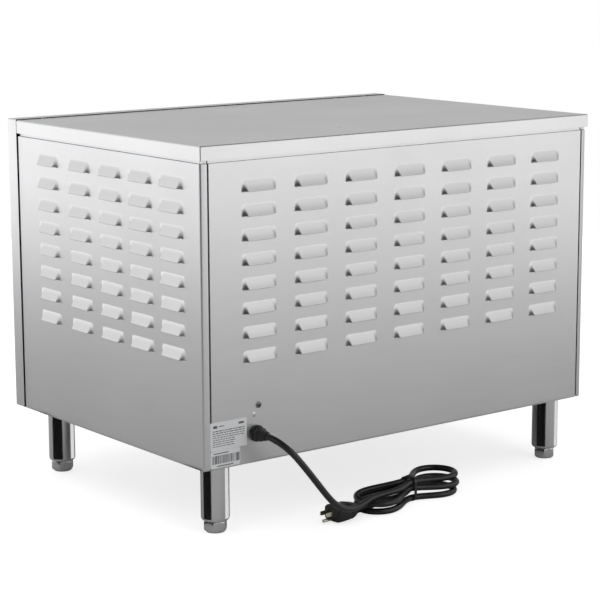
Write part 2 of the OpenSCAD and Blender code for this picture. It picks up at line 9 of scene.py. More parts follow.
import bmesh
import bpy
import numpy as np
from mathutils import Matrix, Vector


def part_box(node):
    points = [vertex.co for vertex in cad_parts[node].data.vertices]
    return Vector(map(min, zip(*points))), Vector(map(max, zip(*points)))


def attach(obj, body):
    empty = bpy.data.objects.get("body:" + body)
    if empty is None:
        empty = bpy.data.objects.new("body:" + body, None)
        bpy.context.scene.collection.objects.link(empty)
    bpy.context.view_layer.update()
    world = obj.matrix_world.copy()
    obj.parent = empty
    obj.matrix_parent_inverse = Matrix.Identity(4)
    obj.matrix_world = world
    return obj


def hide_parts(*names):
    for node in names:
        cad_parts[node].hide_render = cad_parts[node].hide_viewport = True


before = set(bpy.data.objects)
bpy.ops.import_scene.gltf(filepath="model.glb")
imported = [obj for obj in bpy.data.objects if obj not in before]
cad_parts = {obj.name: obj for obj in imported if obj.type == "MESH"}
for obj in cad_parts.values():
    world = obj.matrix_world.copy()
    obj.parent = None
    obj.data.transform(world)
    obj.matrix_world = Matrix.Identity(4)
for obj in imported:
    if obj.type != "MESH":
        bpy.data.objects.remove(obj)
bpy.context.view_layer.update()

MM = 0.001
TAU = 2 * math.pi
# where an outline's two axes and its height go
PLANES = {"xy": (0, 1, 2), "xz": (0, 2, 1), "yz": (2, 0, 1)}


def span(node):
    """Lowest and highest corner of a CAD node, in millimetres."""
    low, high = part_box(node)
    return np.array(low) / MM, np.array(high) / MM


# ---------- camera ----------

LENS = 119.34                # millimetres, on a sensor 36 wide
LOOK_TURN = 37.707           # degrees from +Y towards +X
LOOK_RISE = 10.546
LOOK_ROLL = 0.236
CAMERA_AT = (1.9068, 2.4942, 0.8456)


def make_camera():
    """Camera behind and to the right: it looks along a line given by its turn and rise, then rolls."""
    data = bpy.data.cameras.new("camera")
    data.lens, data.sensor_width = LENS, 36
    camera = bpy.data.objects.new("camera", data)
    turn, rise = math.radians(LOOK_TURN), math.radians(LOOK_RISE)
    back = Vector((math.sin(turn) * math.cos(rise), math.cos(turn) * math.cos(rise), math.sin(rise)))
    camera.location = CAMERA_AT
    camera.rotation_euler = (-back).to_track_quat("-Z", "Y").to_euler()
    camera.rotation_euler.rotate_axis("Z", math.radians(-LOOK_ROLL))
    bpy.context.scene.collection.objects.link(camera)
    bpy.context.scene.camera = camera


make_camera()


# ---------- meshes from arrays ----------

def grid(points, close_rows=False, close_columns=False):
    """Quads over a (rows, columns, 3) array; a closed direction joins its last line to its first."""
    rows, columns = points.shape[:2]
    i, j = np.meshgrid(np.arange(rows - (not close_rows)), np.arange(columns - (not close_columns)),
                       indexing="ij")
    i2, j2 = (i + 1) % rows, (j + 1) % columns
    quads = np.stack([i * columns + j, i2 * columns + j, i2 * columns + j2, i * columns + j2], -1)
    return points.reshape(-1, 3), quads.reshape(-1, 4).tolist()


def capped(points, close_rows=False):
    """A grid closed round its columns, with a flat face over each open end."""
    shell, quads = grid(points, close_rows, True)
    columns = points.shape[1]
    if not close_rows:
        last = len(shell) - columns
        quads += [list(range(columns)), list(range(last + columns - 1, last - 1, -1))]
    return shell, quads


def joined(*shells):
    """Several shells as one, with their faces renumbered."""
    faces, base = [], 0
    for points, quads in shells:
        faces += [[k + base for k in q] for q in quads]
        base += len(points)
    return np.vstack([points for points, _ in shells]), faces


def mirrored(shell):
    """The shell's twin across X = 0, with its faces turned back outwards."""
    points, faces = shell
    return points * (-1, 1, 1), [q[::-1] for q in faces]


def make_mesh(name, shell, smooth, closed=True):
    """Mesh in metres: doubles merged, faces outwards, smooth up to an angle in degrees."""
    mesh = bpy.data.meshes.new(name)
    points, faces = shell
    mesh.from_pydata((points * MM).tolist(), [], faces)
    work = bmesh.new()
    work.from_mesh(mesh)
    bmesh.ops.remove_doubles(work, verts=work.verts, dist=0.00001)
    if closed:
        bmesh.ops.recalc_face_normals(work, faces=work.faces)
    work.to_mesh(mesh)
    work.free()
    mesh.shade_smooth()
    mesh.set_sharp_from_angle(angle=math.radians(smooth))
    return mesh


def piece(name, body, shell, material, replaces=(), smooth=35, closed=True, thick=None):
    """An object at the origin that rides on a body; thick gives an open sheet its wall, inwards."""
    made = bpy.data.objects.new(name, make_mesh(name, shell, smooth, closed))
    bpy.context.scene.collection.objects.link(made)
    made.data.materials.append(material)
    if thick:
        wall = made.modifiers.new("wall", "SOLIDIFY")
        wall.thickness, wall.offset, wall.use_even_offset = thick * MM, -1, True
    flats = made.modifiers.new("level_flats", "WEIGHTED_NORMAL")
    flats.keep_sharp = True
    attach(made, body)
    if replaces:
        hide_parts(*replaces)
    return made


def arc(centre, r, start, end, count):
    """Points on a circle from one angle to another, in degrees."""
    a = np.radians(np.linspace(start, end, count))
    return np.column_stack([centre[0] + r * np.cos(a), centre[1] + r * np.sin(a)])


def rounded(corners, radii, count=5, guard=0.25):
    """An open or closed outline whose corners are arcs tangent to both sides, each arc with a guard
    point on the straight stretch on either side of it, so that the flats keep flat shading."""
    corners = np.array(corners, float)
    out = [corners[:1]]
    for k in range(1, len(corners) - 1):
        r = radii[k] if hasattr(radii, "__len__") else radii
        a, p, b = corners[k - 1], corners[k], corners[k + 1]
        u, v = (a - p) / np.linalg.norm(a - p), (b - p) / np.linalg.norm(b - p)
        half = math.acos(np.clip(u @ v, -1, 1)) / 2
        cut = r / math.tan(half)
        middle = p + (u + v) / np.linalg.norm(u + v) * r / math.sin(half)
        first, last = p + u * cut - middle, p + v * cut - middle
        turn = math.atan2(first[0] * last[1] - first[1] * last[0], first @ last)
        a = np.linspace(0, turn, count)
        spun = np.column_stack([first[0] * np.cos(a) - first[1] * np.sin(a),
                                first[0] * np.sin(a) + first[1] * np.cos(a)]) + middle
        out += [[p + u * (cut + guard)], spun, [p + v * (cut + guard)]]
    return np.vstack(out + [corners[-1:]])


def turned(x, y, h, axis, centre):
    """Points with h along the named axis, moved to centre."""
    order = {"z": (x, y, h), "-z": (x, -y, -h), "y": (x, h, -y), "-y": (x, -h, y), "x": (h, x, y)}[axis]
    return np.stack(np.broadcast_arrays(*order), -1) + np.array(centre, float)


def lathe(profile, centre, axis="z", count=48, hollow=False, flutes=0):
    """A profile of (radius, height) pairs turned once round an axis through centre. A third number is
    how deep the flutes are there; hollow joins the profile's last point to its first."""
    profile = np.array(profile, float)
    a = np.arange(count) / count * TAU
    r, h = profile[:, :1], profile[:, 1:2]
    if flutes:
        r = r - profile[:, 2:] * (0.5 - 0.5 * np.cos(flutes * a)) ** 2
    return capped(turned(r * np.cos(a), r * np.sin(a), h, axis, centre), hollow)


def hexagon(flats, rows, centre, axis="z", turn=0.0):
    """Hexagonal bar across the flats, its corners cut by the rows' (limiting radius, height) pairs:
    r = min(half the flats / cos(angle from the middle of a side), limit)."""
    a = np.arange(48) / 48 * TAU
    side = 0.5 * flats / np.cos((a + TAU / 12) % (TAU / 6) - TAU / 12)
    limit, h = np.array(rows, float)[:, :1], np.array(rows, float)[:, 1:]
    r, a = np.minimum(side, limit), a + math.radians(turn)
    return capped(turned(r * np.cos(a), r * np.sin(a), h, axis, centre))


def frames(path, loop=False):
    """Two normals at each point of a path, each carried on from the last."""
    tangent = np.roll(path, -1, 0) - np.roll(path, 1, 0) if loop else np.gradient(path, axis=0)
    tangent /= np.linalg.norm(tangent, axis=1)[:, None]
    side = np.cross(tangent[0], (0, 0, 1) if abs(tangent[0][2]) < 0.9 else (1, 0, 0))
    sides = []
    for t in tangent:
        side = side - t * (side @ t)
        side /= np.linalg.norm(side)
        sides.append(side)
    return np.array(sides), np.cross(tangent, sides)


def tube(path, radius, count=12, loop=False):
    """A round section carried along a path; radius is one number or one for each point."""
    path = np.array(path, float)
    side, up = frames(path, loop)
    a = np.arange(count) / count * TAU
    r = np.broadcast_to(radius, (len(path),))[:, None, None]
    return capped(path[:, None] + r * (side[:, None] * np.cos(a)[:, None] + up[:, None]
                                       * np.sin(a)[:, None]), loop)


def slab(outline, low, high, edge=0.4, plane="xy"):
    """A closed outline given thickness from low to high, its rims eased by a small quarter round."""
    line = np.array(outline, float)
    inward = line.mean(0) - line
    inward /= np.linalg.norm(inward, axis=1)[:, None]
    rows = []
    for a in np.radians([0, 30, 60, 90]):
        rows.append((edge * (1 - math.sin(a)), low + edge * (1 - math.cos(a))))
    for a in np.radians([90, 60, 30, 0]):
        rows.append((edge * (1 - math.sin(a)), high - edge * (1 - math.cos(a))))
    points = np.stack([np.column_stack([line + inward * d, np.full(len(line), h)]) for d, h in rows])
    return capped(points[..., PLANES[plane]])


def ring(rect, r, count=5, guard=0.3):
    """Rounded rectangle: a quarter circle at each corner with a guard point on either side of it."""
    x0, x1, y0, y1 = rect
    out = []
    for cx, cy, start in ((x1 - r, y1 - r, 0), (x0 + r, y1 - r, 90), (x0 + r, y0 + r, 180),
                          (x1 - r, y0 + r, 270)):
        bend = arc((cx, cy), r, start, start + 90, count)
        before, after = math.radians(start - 90), math.radians(start + 180)
        out += [bend[:1] + guard * np.array([[math.cos(before), math.sin(before)]]), bend,
                bend[-1:] + guard * np.array([[math.cos(after), math.sin(after)]])]
    return np.vstack(out)


def inset(rect, d):
    """The rectangle with each side moved inwards by d."""
    return rect[0] + d, rect[1] - d, rect[2] + d, rect[3] - d


def loft(rows, plane="xy", shut=(False, False), loop=False):
    """Rings (rectangle, corner radius, height) joined in order: shut by a flat face at either end, or
    with the last ring joined to the first."""
    count = 28
    points = np.stack([np.column_stack([ring(rect, r), np.full(count, float(h))]) for rect, r, h in rows])
    shell, quads = grid(points[..., PLANES[plane]], loop, True)
    last = len(shell) - count
    if shut[0]:
        quads.append(list(range(count)))
    if shut[1]:
        quads.append(list(range(last, last + count))[::-1])
    return shell, quads


def bent_rim(rect, r, level, away, bend=2.0, turn=1):
    """Rows over a bend from the flat at level round to the skirt, away being which way the skirt goes;
    turn -1 bends at an opening's edge instead of the outer edge."""
    rows = []
    for a in np.radians([0, 20, 40, 60, 80, 90]):
        d = bend * (1 - math.sin(a)) * turn
        rows.append((inset(rect, d), max(r - d, 0.3) if turn > 0 else r + bend, level + away * bend
                     * (1 - math.cos(a))))
    return rows


def tray(rect, level, edge, r=1.6, bend=2.0, plane="xy", back=False):
    """A folded sheet: flat face at level, a bend all round, and a skirt to edge; back turns it over."""
    away = 1 if edge > level else -1
    rows = [(inset(rect, bend + 0.4), 0.4, level)] + bent_rim(rect, r, level, away, bend)
    rows += [(rect, r, level + away * (bend + 0.4)), (rect, r, edge)]
    return loft(rows[::-1], plane, (False, True)) if back else loft(rows, plane, (True, False))


def surround(rect, r, section, plane="xz"):
    """A closed section of (inset, height) points carried round a rounded rectangle."""
    return loft([(inset(rect, d), max(r - d, 0.3), h) for d, h in section], plane, loop=True)


# ---------- finishes ----------

class Finish:
    """A Principled material whose patterns read Object coordinates."""

    def __init__(self, name, color, rough, metal=0.0):
        self.material = bpy.data.materials.new(name)
        self.material.use_nodes = True
        self.tree = self.material.node_tree
        self.shader = self.tree.nodes["Principled BSDF"]
        self.shader.inputs["Base Color"].default_value = (*color, 1)
        self.shader.inputs["Roughness"].default_value = rough
        self.shader.inputs["Metallic"].default_value = metal
        self.place = self.node("ShaderNodeTexCoord").outputs["Object"]
        self.color, self.rough = color, rough

    def node(self, kind, **settings):
        made = self.tree.nodes.new(kind)
        for name, value in settings.items():
            setattr(made, name, value)
        return made

    def link(self, source, target):
        self.tree.links.new(source, target)

    def noise(self, scale, detail=3.0, stretch=(1, 1, 1), rough=0.55):
        """Noise of scale cells a metre, drawn out along the axes whose stretch is small."""
        squeeze = self.node("ShaderNodeMapping")
        squeeze.inputs["Scale"].default_value = stretch
        made = self.node("ShaderNodeTexNoise")
        made.inputs["Scale"].default_value = scale
        made.inputs["Detail"].default_value = detail
        made.inputs["Roughness"].default_value = rough
        self.link(self.place, squeeze.inputs["Vector"])
        self.link(squeeze.outputs["Vector"], made.inputs["Vector"])
        return made.outputs["Fac"]

    def between(self, source, low, high, start=0.3, end=0.7):
        """source from start to end becomes a number from low to high."""
        made = self.node("ShaderNodeMapRange")
        for name, value in zip(("From Min", "From Max", "To Min", "To Max"), (start, end, low, high)):
            made.inputs[name].default_value = value
        self.link(source, made.inputs["Value"])
        return made.outputs["Result"]

    def tint(self, source, low, high, start=0.3, end=0.7):
        """Colour runs from low to high times the base colour as source runs from start to end."""
        ramp = self.node("ShaderNodeValToRGB")
        ramp.color_ramp.elements[0].position, ramp.color_ramp.elements[1].position = start, end
        for stop, share in zip(ramp.color_ramp.elements, (low, high)):
            stop.color = (*[min(1.0, c * share) for c in self.color], 1)
        self.link(source, ramp.inputs["Fac"])
        self.link(ramp.outputs["Color"], self.shader.inputs["Base Color"])
        return self

    def gloss(self, source, low, high, start=0.3, end=0.7):
        """Roughness runs from low to high."""
        self.link(self.between(source, low, high, start, end), self.shader.inputs["Roughness"])
        return self

    def bump(self, source, depth):
        """Relief of depth millimetres."""
        made = self.node("ShaderNodeBump")
        made.inputs["Strength"].default_value = 1.0
        made.inputs["Distance"].default_value = depth * MM
        last = self.shader.inputs["Normal"].links
        if last:
            self.link(last[0].from_socket, made.inputs["Normal"])
        self.link(source, made.inputs["Height"])
        self.link(made.outputs["Normal"], self.shader.inputs["Normal"])
        return self

    def set(self, **sockets):
        for name, value in sockets.items():
            self.shader.inputs[name.replace("_", " ")].default_value = value
        return self


GRAIN = {"x": (0.012, 1, 1), "y": (1, 0.012, 1), "z": (1, 1, 0.012), "side": (0.012, 0.012, 1)}


def steel(name, grain, color=(0.6, 0.6, 0.607), rough=0.34, relief=0.0015, spread=0.06):
    """Rolled stainless sheet: hair lines along the grain in tone, gloss and relief, over slow clouds
    of wear a hand wide."""
    made = Finish(name, color, rough, 1.0)
    lines = made.noise(900, 4.0, GRAIN[grain], 0.65)
    clouds = made.noise(5, 3.0)
    made.tint(lines, 0.955, 1.03, 0.25, 0.75)
    both = made.node("ShaderNodeMix", data_type="FLOAT")
    both.inputs["Factor"].default_value = 0.35
    made.link(lines, both.inputs["A"])
    made.link(clouds, both.inputs["B"])
    made.gloss(both.outputs["Result"], rough - spread, rough + spread)
    return made.bump(lines, relief).material


def plastic(name, color, rough, grain=0.03, cells=1500, low=0.8, high=1.25):
    """Moulded plastic: a fine spark-eroded texture, with faint flow marks in its colour."""
    made = Finish(name, color, rough)
    made.tint(made.noise(14, 3.0), low, high)
    fine = made.noise(cells, 2.0)
    made.gloss(fine, rough - 0.06, rough + 0.1)
    return made.bump(fine, grain).material


def make_finishes():
    """Every finish by name."""
    made = {
        "panel": steel("brushed_panel", "side", rough=0.36),
        "top": steel("brushed_top", "x", rough=0.33),
        "upright": steel("brushed_upright", "z", rough=0.33),
        "door": steel("brushed_door", "x", rough=0.3),
        "bright": steel("polished_tube", "z", (0.66, 0.66, 0.668), 0.17, 0.0008, 0.04),
        "base": steel("mill_sheet", "x", (0.45, 0.455, 0.465), 0.42, 0.002),
        "liner": steel("satin_liner", "x", (0.6, 0.6, 0.61), 0.3, 0.0015),
        "wire": steel("plated_wire", "x", (0.82, 0.83, 0.85), 0.14, 0.0008, 0.05),
        "screw": steel("zinc_plate", "x", (0.75, 0.75, 0.77), 0.22, 0.002, 0.06),
        "blade": steel("plated_brass", "x", (0.83, 0.79, 0.66), 0.2, 0.001, 0.05),
        "black": plastic("black_moulding", (0.018, 0.018, 0.019), 0.42),
        "cord": plastic("cord_jacket", (0.012, 0.012, 0.013), 0.29, 0.01, 900),
        "rubber": plastic("seal_rubber", (0.03, 0.03, 0.031), 0.62, 0.04, 1100),
        "ivory": plastic("ivory_moulding", (0.68, 0.64, 0.52), 0.45),
        "sleeve": plastic("wire_sleeve", (0.4, 0.035, 0.025), 0.33, 0.01),
        "print": plastic("dial_black", (0.03, 0.03, 0.03), 0.5, 0.005),
        "mark": plastic("pointer_white", (0.8, 0.8, 0.78), 0.45, 0.005, 1500, 0.95, 1.0),
        "label": plastic("label_film", (0.78, 0.79, 0.8), 0.34, 0.003, 900, 0.97, 1.02),
        "ink": plastic("label_ink", (0.09, 0.09, 0.1), 0.5, 0.002, 900, 0.9, 1.1),
        "dial": plastic("dial_face", (0.82, 0.82, 0.8), 0.4, 0.004, 900, 0.97, 1.02),
    }
    sheath = Finish("oxidised_sheath", (0.16, 0.15, 0.145), 0.5, 0.8)
    sheath.tint(sheath.noise(60, 4.0), 0.6, 1.5)
    made["sheath"] = sheath.gloss(sheath.noise(200, 3.0), 0.4, 0.62).bump(sheath.noise(900, 3.0),
                                                                          0.03).material
    wool = Finish("mineral_wool", (0.66, 0.58, 0.33), 0.95)
    fibres = wool.noise(420, 5.0, (1, 1, 0.25), 0.75)
    made["wool"] = wool.tint(fibres, 0.55, 1.25).bump(fibres, 1.2).set(Sheen_Weight=0.3).material
    glass = Finish("toughened_glass", (0.93, 0.97, 0.96), 0.02)
    glass.set(Transmission_Weight=1.0, IOR=1.5)
    made["glass"] = glass.gloss(glass.noise(7, 2.0), 0.0, 0.05).material
    made["red_key"] = plastic("red_key", (0.55, 0.02, 0.012), 0.3, 0.01, 900)
    made["dark_screw"] = steel("dark_zinc", "x", (0.2, 0.2, 0.21), 0.25, 0.002, 0.06)
    lens = Finish("red_lens", (0.75, 0.03, 0.015), 0.12)
    lens.tint(lens.noise(90, 2.0), 0.8, 1.15).set(Transmission_Weight=0.35, IOR=1.49, Coat_Weight=0.6)
    made["red"] = lens.bump(lens.noise(300, 2.0), 0.01).material
    return made


finish = make_finishes()


# ---------- supply cord ----------

CORD_D = 9.5
CORD_STEP = 4                          # distance between points of the centreline
FREE_RUN, TAIL_RUN = 225, 30           # stretches at either end that keep their heights
CORD_ROUTE = [(281, 310.9, 144), (281, 316, 144), (279.5, 328.7, 142.1), (275.2, 340.7, 136.8),
              (268.6, 349.6, 128.6), (260.5, 354.6, 118.6), (246, 357.5, 100.6), (230, 358.5, 80.7),
              (214, 358.5, 61), (199, 358, 44), (183, 356, 31.5), (164, 352, 24), (138, 345, 22),
              (112, 336, 22)]
TIE_AT = np.array([9.0, 304.0])        # middle of the hank, where the tie holds it
TIE_TURN = math.radians(12.2)           # direction of the hank's length
FOLD_R = 32.0                           # radius of a fold
HANK_IN = [(90.3, 330.8, 25.0), (38.0, 326.1, 27.0)]
HANK_OUT = [(44.0, 316.4, 6.0), (76.0, 312.3, 8.0), (100.0, 321.0, 10.0), (112.0, 320.0, 10.0),
            (124.0, 320.6, 10.0)]
# Each fold: how far out its centre is, its direction in degrees, its heights going in and coming
# out, and the height at which the strands beside it pass the tie.
FOLDS = [(72.3, 194.2, 26, 26, 25), (72.5, 9.3, 21, 14, 25), (66.1, 188.2, 15, 15, 15),
         (68.5, 6.5, 12, 5, 15), (57.8, 185.8, 5, 5, 5)]


def tie_slot(across, height):
    """A strand's place where it passes the tie."""
    side = np.array([-math.sin(TIE_TURN), math.cos(TIE_TURN)])
    return [[*(TIE_AT + side * across), height]]


def fold(reach, turn, height_in, height_out, count=9):
    """Points round one fold: a little over half a circle about a centre that lies reach from the tie."""
    t = math.radians(turn)
    a = np.radians(np.linspace(-100, 100, count)) + t
    middle = TIE_AT + reach * np.array([math.cos(t), math.sin(t)])
    return np.column_stack([middle[0] + FOLD_R * np.cos(a), middle[1] + FOLD_R * np.sin(a),
                            np.linspace(height_in, height_out, count)])


def spline(points, step):
    """Natural cubic spline through the points, by chord length, sampled every step."""
    p = np.array(points, float)
    chord = np.linalg.norm(np.diff(p, axis=0), axis=1)
    along = np.concatenate([[0], np.cumsum(chord)])
    n = len(p)
    system, right = np.eye(n), np.zeros((n, 3))
    inner = np.arange(1, n - 1)
    system[inner, inner - 1], system[inner, inner] = chord[:-1], 2 * (chord[:-1] + chord[1:])
    system[inner, inner + 1] = chord[1:]
    slope = np.diff(p, axis=0) / chord[:, None]
    right[1:-1] = 6 * np.diff(slope, axis=0)
    bend = np.linalg.solve(system, right)
    at = np.linspace(0, along[-1], int(along[-1] / step) + 1)
    k = np.clip(np.searchsorted(along, at, "right") - 1, 0, n - 2)
    h = chord[k][:, None]
    a = (along[k + 1] - at)[:, None] / h
    b = 1 - a
    return a * p[k] + b * p[k + 1] + ((a ** 3 - a) * bend[k] + (b ** 3 - b) * bend[k + 1]) * h * h / 6


def stacked(path, held, rounds=300):
    """The same path with its crossings lifted apart: where two stretches lie nearer than a diameter,
    the upper one rises and the lower one sinks, while the heights are smoothed along the cord."""
    step = np.linalg.norm(np.diff(path, axis=0), axis=1).mean()
    index = np.arange(len(path))
    apart = np.abs(index[:, None] - index) * step > 2.2 * CORD_D
    flat = np.linalg.norm(path[:, None, :2] - path[None, :, :2], axis=2)
    need = np.sqrt(np.maximum(CORD_D ** 2 - flat ** 2, 0)) * apart
    z = path[:, 2].copy()
    above = np.sign(z[:, None] - z + 1e-6 * (index - index[:, None]))
    for _ in range(rounds):
        short = np.where(need > 0, np.maximum(need - above * (z[:, None] - z), 0), 0)
        z = z + np.where(held, 0, 0.5 * (short * (above > 0)).max(1) - 0.2 * (short * (above < 0)).max(1))
        eased = z.copy()
        eased[1:-1] = 0.25 * z[:-2] + 0.5 * z[1:-1] + 0.25 * z[2:]
        z = np.where(held, z, np.maximum(eased, CORD_D / 2))
    return np.column_stack([path[:, :2], z])


def relaxed(path, rounds=16, first=16, last=4):
    """The path with its kinks evened out between its first and last points: each point moves towards
    the mean of its neighbours."""
    end = len(path) - last
    for _ in range(rounds):
        path[first:end] = 0.25 * path[first - 1:end - 1] + 0.5 * path[first:end] + 0.25 * path[first + 1:end
                                                                                               + 1]
    return path


def cord_path():
    """The whole centreline: the route from the gland, the hank's runs and folds, then the plug's tail."""
    points = [CORD_ROUTE, HANK_IN]
    for reach, turn, height_in, height_out, lane in FOLDS:
        outward = 6 if turn > 90 else -4
        points += [tie_slot(outward, lane), fold(reach, turn, height_in, height_out)]
    points += [tie_slot(-4, FOLDS[-1][4]), HANK_OUT]
    path = spline(np.vstack(points), CORD_STEP)
    along = np.arange(len(path)) * CORD_STEP
    return relaxed(stacked(path, (along < FREE_RUN) | (along > along[-1] - TAIL_RUN)))


def superellipse(a, b, power, count=40):
    """Outline |u / a|^n + |v / b|^n = 1."""
    t = np.arange(count) / count * TAU
    c, s = np.cos(t), np.sin(t)
    return np.column_stack([a * np.sign(c) * np.abs(c) ** (2 / power),
                            b * np.sign(s) * np.abs(s) ** (2 / power)])


PLUG_FACE, PLUG_TURN = np.array([172.0, 324.0, 13.0]), math.radians(4)


def at_plug(shell):
    """Plug coordinates, contacts towards +X, to the place where the plug lies."""
    points, faces = shell
    c, s = math.cos(PLUG_TURN), math.sin(PLUG_TURN)
    x, y, z = points.T
    return np.column_stack([x * c - y * s, x * s + y * c, z]) + PLUG_FACE, faces


def plug_body():
    """Moulded plug: superellipse sections along its length, over a ribbed tail; each station is
    (x, half width, half height, power, middle height)."""
    tail = []
    for k in range(5):
        x, r = -60 + 3.2 * k, 5.6 + 0.55 * k
        tail += [(x, r, r, 2, -3 + 0.5 * k), (x + 1.5, r + 0.1, r + 0.1, 2, -3 + 0.5 * k),
                 (x + 1.8, r - 0.8, r - 0.8, 2, -3 + 0.5 * k), (x + 2.9, r - 0.8, r - 0.8, 2, -3 + 0.5 * k)]
    stations = [(-60, 4.6, 4.6, 2, -3)] + tail + [(-44, 9.5, 8.6, 2.3, -0.6), (-40, 12.6, 9.6, 2.8, 0),
                                                  (-34, 15.4, 10.6, 3.4, 0),
                (-28, 16.6, 11.6, 4, 0), (-26.5, 15.8, 11.1, 4, 0), (-24, 15.6, 11, 4, 0),
                                                  (-22.5, 16.8, 11.8, 4, 0),
                (-12, 17, 12, 4.4, 0), (-4, 17, 12, 4.4, 0), (-1.5, 16.8, 11.8, 4.4, 0),
                                                  (-0.4, 16.2, 11.2, 4.2, 0), (0, 15.2, 10.4, 4, 0)]
    rows = []
    for x, a, b, power, mid in stations:
        section = superellipse(a, b, power)
        rows.append(np.column_stack([np.full(len(section), float(x)), section[:, 0], section[:, 1] + mid]))
    return at_plug(capped(np.stack(rows)))


def plug_contacts():
    """Two flat blades with eased tips and the round earth pin."""
    tip = [(0, -0.8), (15.6, -0.8), (17.2, 0.2), (17.5, 1.2), (17.5, 3.5), (17.2, 4.5), (15.6, 5.5),
           (0, 5.5)]
    blades = [slab(tip, y - 0.75, y + 0.75, 0.25, "xz") for y in (-6.35, 6.35)]
    pin = lathe([(2.4, 0), (2.4, 16.6), (2.1, 17.8), (1.3, 18.7), (0.01, 19)], (0, 0, -7.5), "x", 24)
    return at_plug(joined(*blades, pin))


def gland():
    """Flange, hexagonal collar and ribbed taper round the cord."""
    low, high = span("cord_gland")
    seat = low[1] + 14                                 # where its flange lies on the rear panel
    at, end = ((low[0] + high[0]) / 2, seat, (low[2] + high[2]) / 2), high[1] - seat
    flange = lathe([(5, -14), (8.8, -14), (8.8, 0), (11.5, 0), (12, 0.5), (12, 3.1), (11.3, 4), (5, 4)], at,
                   "y", 56, hollow=True)
    collar = hexagon(19.6, [(9, 3.9), (10.4, 3.9), (11.4, 4.6), (11.4, 10.4), (10.2, 11.6), (9, 11.6)], at,
                     "y", 8)
    ribs = []
    for k in range(6):
        h, r = 11.4 + 2.3 * k, 9.3 - 0.5 * k
        ribs += [(r, h), (r - 0.1, h + 1.3), (r - 1.1, h + 1.6), (r - 1.2, h + 2.1)]
    taper = lathe([(4.9, 11)] + ribs + [(6.3, end - 0.8), (5.8, end), (4.9, end)], at, "y", 48, hollow=True)
    return joined(flange, collar, taper)


def strap(path):
    """A flat band round the strands where they pass the tie, with a small buckle and its cut tail."""
    c, s = math.cos(TIE_TURN), math.sin(TIE_TURN)
    lengthwise, side = np.array([c, s]), np.array([-s, c])
    flat = path[:, :2] - TIE_AT
    near = np.abs(flat @ lengthwise) < 4
    near &= np.abs(flat @ side) < 25
    u, v = flat[near] @ side, path[near, 2]
    gap, t = CORD_D / 2 + 0.1, 1.3                     # strands to band, thickness of the band
    rect = (u.min() - gap, u.max() + gap, max(v.min() - gap, t + 0.1), v.max() + gap)
    band = surround(inset(rect, -t), 6, [(0, -2.6), (0, 2.6), (t * 0.5, 2.9), (t, 2.6), (t, -2.6),
                                         (t * 0.5, -2.9)], "xy")
    mid = (rect[0] + rect[1]) / 2
    buckle = slab(ring((mid - 4, mid + 4, rect[3] - 0.2, rect[3] + 4.2), 1.2), -4, 4, 0.6, "xy")
    tail = slab(ring((mid + 3, mid + 13, rect[3] + 1.2, rect[3] + 2.3), 0.5), -2.3, 2.3, 0.3, "xy")
    points, faces = joined(band, buckle, tail)
    flat = TIE_AT + points[:, :1] * side + points[:, 2:] * lengthwise
    return np.column_stack([flat, points[:, 1]]), faces


def make_cord():
    """Jacketed cord, its strap, its moulded plug with three contacts and the gland it comes out of."""
    path = cord_path()
    cord = piece("cord", "cabinet", tube(path, CORD_D / 2, 14), finish["cord"],
                 ["supply_cord", "cord_hank"], smooth=60)
    piece("strain_relief", "cabinet", gland(), finish["black"], ["cord_gland"])
    piece("cord_strap", "cabinet", strap(path), finish["black"], ["cord_tie"])
    piece("moulded_plug", "cabinet", plug_body(), finish["cord"], ["plug_body"], 50)
    piece("plug_contacts", "cabinet", plug_contacts(), finish["blade"], ["plug_blades"])


make_cord()


# ---------- sheet metal ----------

def smoothstep(x):
    x = np.clip(x, 0, 1)
    return x * x * (3 - 2 * x)


PANEL_LOW, PANEL_HIGH = span("rear_panel")
SIDE_LOW, SIDE_HIGH = span("side_panel_right")
COVER_LOW, COVER_HIGH = span("top_cover")
STILE_LOW, STILE_HIGH = span("frame_stile_right")
SHEET = 1.2
LOUVRE_L, LOUVRE_H, LOUVRE_OUT = 60.0, 16.0, 7.0
FIRST_ROW, ROW_PITCH, REAR_PITCH, REAR_SHIFT = 147, 34.5, 92.4, -3.5
LIPS = PANEL_LOW[2] + FIRST_ROW + ROW_PITCH * np.arange(8)   # height of each row's lip
CAB_Y = (STILE_LOW[1] + COVER_HIGH[1]) / 2               # middle of the cabinet's depth
REAR_COLUMNS = REAR_PITCH * np.arange(-3, 4) + REAR_SHIFT
SIDE_COLUMNS = CAB_Y + np.array([-144.2, -54, 29.9, 109.5, 188])
SIDE_LIFT = 5.0                                          # the side rows stand this much higher
SEAM = 1.5                                               # the panels' faces lie this far inside the cover's
REAR_Y, SIDE_X = COVER_HIGH[1] - SEAM, COVER_HIGH[0] - SEAM
FLANGE, SLOT = 10.3, 2.9                                 # side panel's rear flange, open seam beside it
TUCK_Z = COVER_LOW[2] - 4.2                              # above this the panels step in under the rim
TUCK, TUCK_IN = TUCK_Z + np.array([-1.2, -0.5, -0.1, 0]), [0, -0.1, -1.2, -2.6]
LAP = 4.0                                                # how far the rear panel's laps lie behind its face
# the side panels' rear flanges lean out towards the rear panel
FLANGE_LEAN = 2.6


def along_columns(columns):
    """Places where a sheet is sampled across its louvres, closest together at their ends."""
    near = np.array([30.6, 30, 29, 28, 27, 26, 25, 24, 23, 22, 20.5, 18, 10])
    return np.concatenate([np.concatenate([c - near, [c], c + near[::-1]]) for c in columns])


def up_rows(lips):
    """Heights where a sheet is sampled; each lip comes twice, under and on the hood."""
    steps = np.array([-1.5, 0, 0, 0.7, 2, 4, 6, 8, 10, 12, 14, 15.2, 16, 17])
    return np.concatenate([z + steps for z in lips])


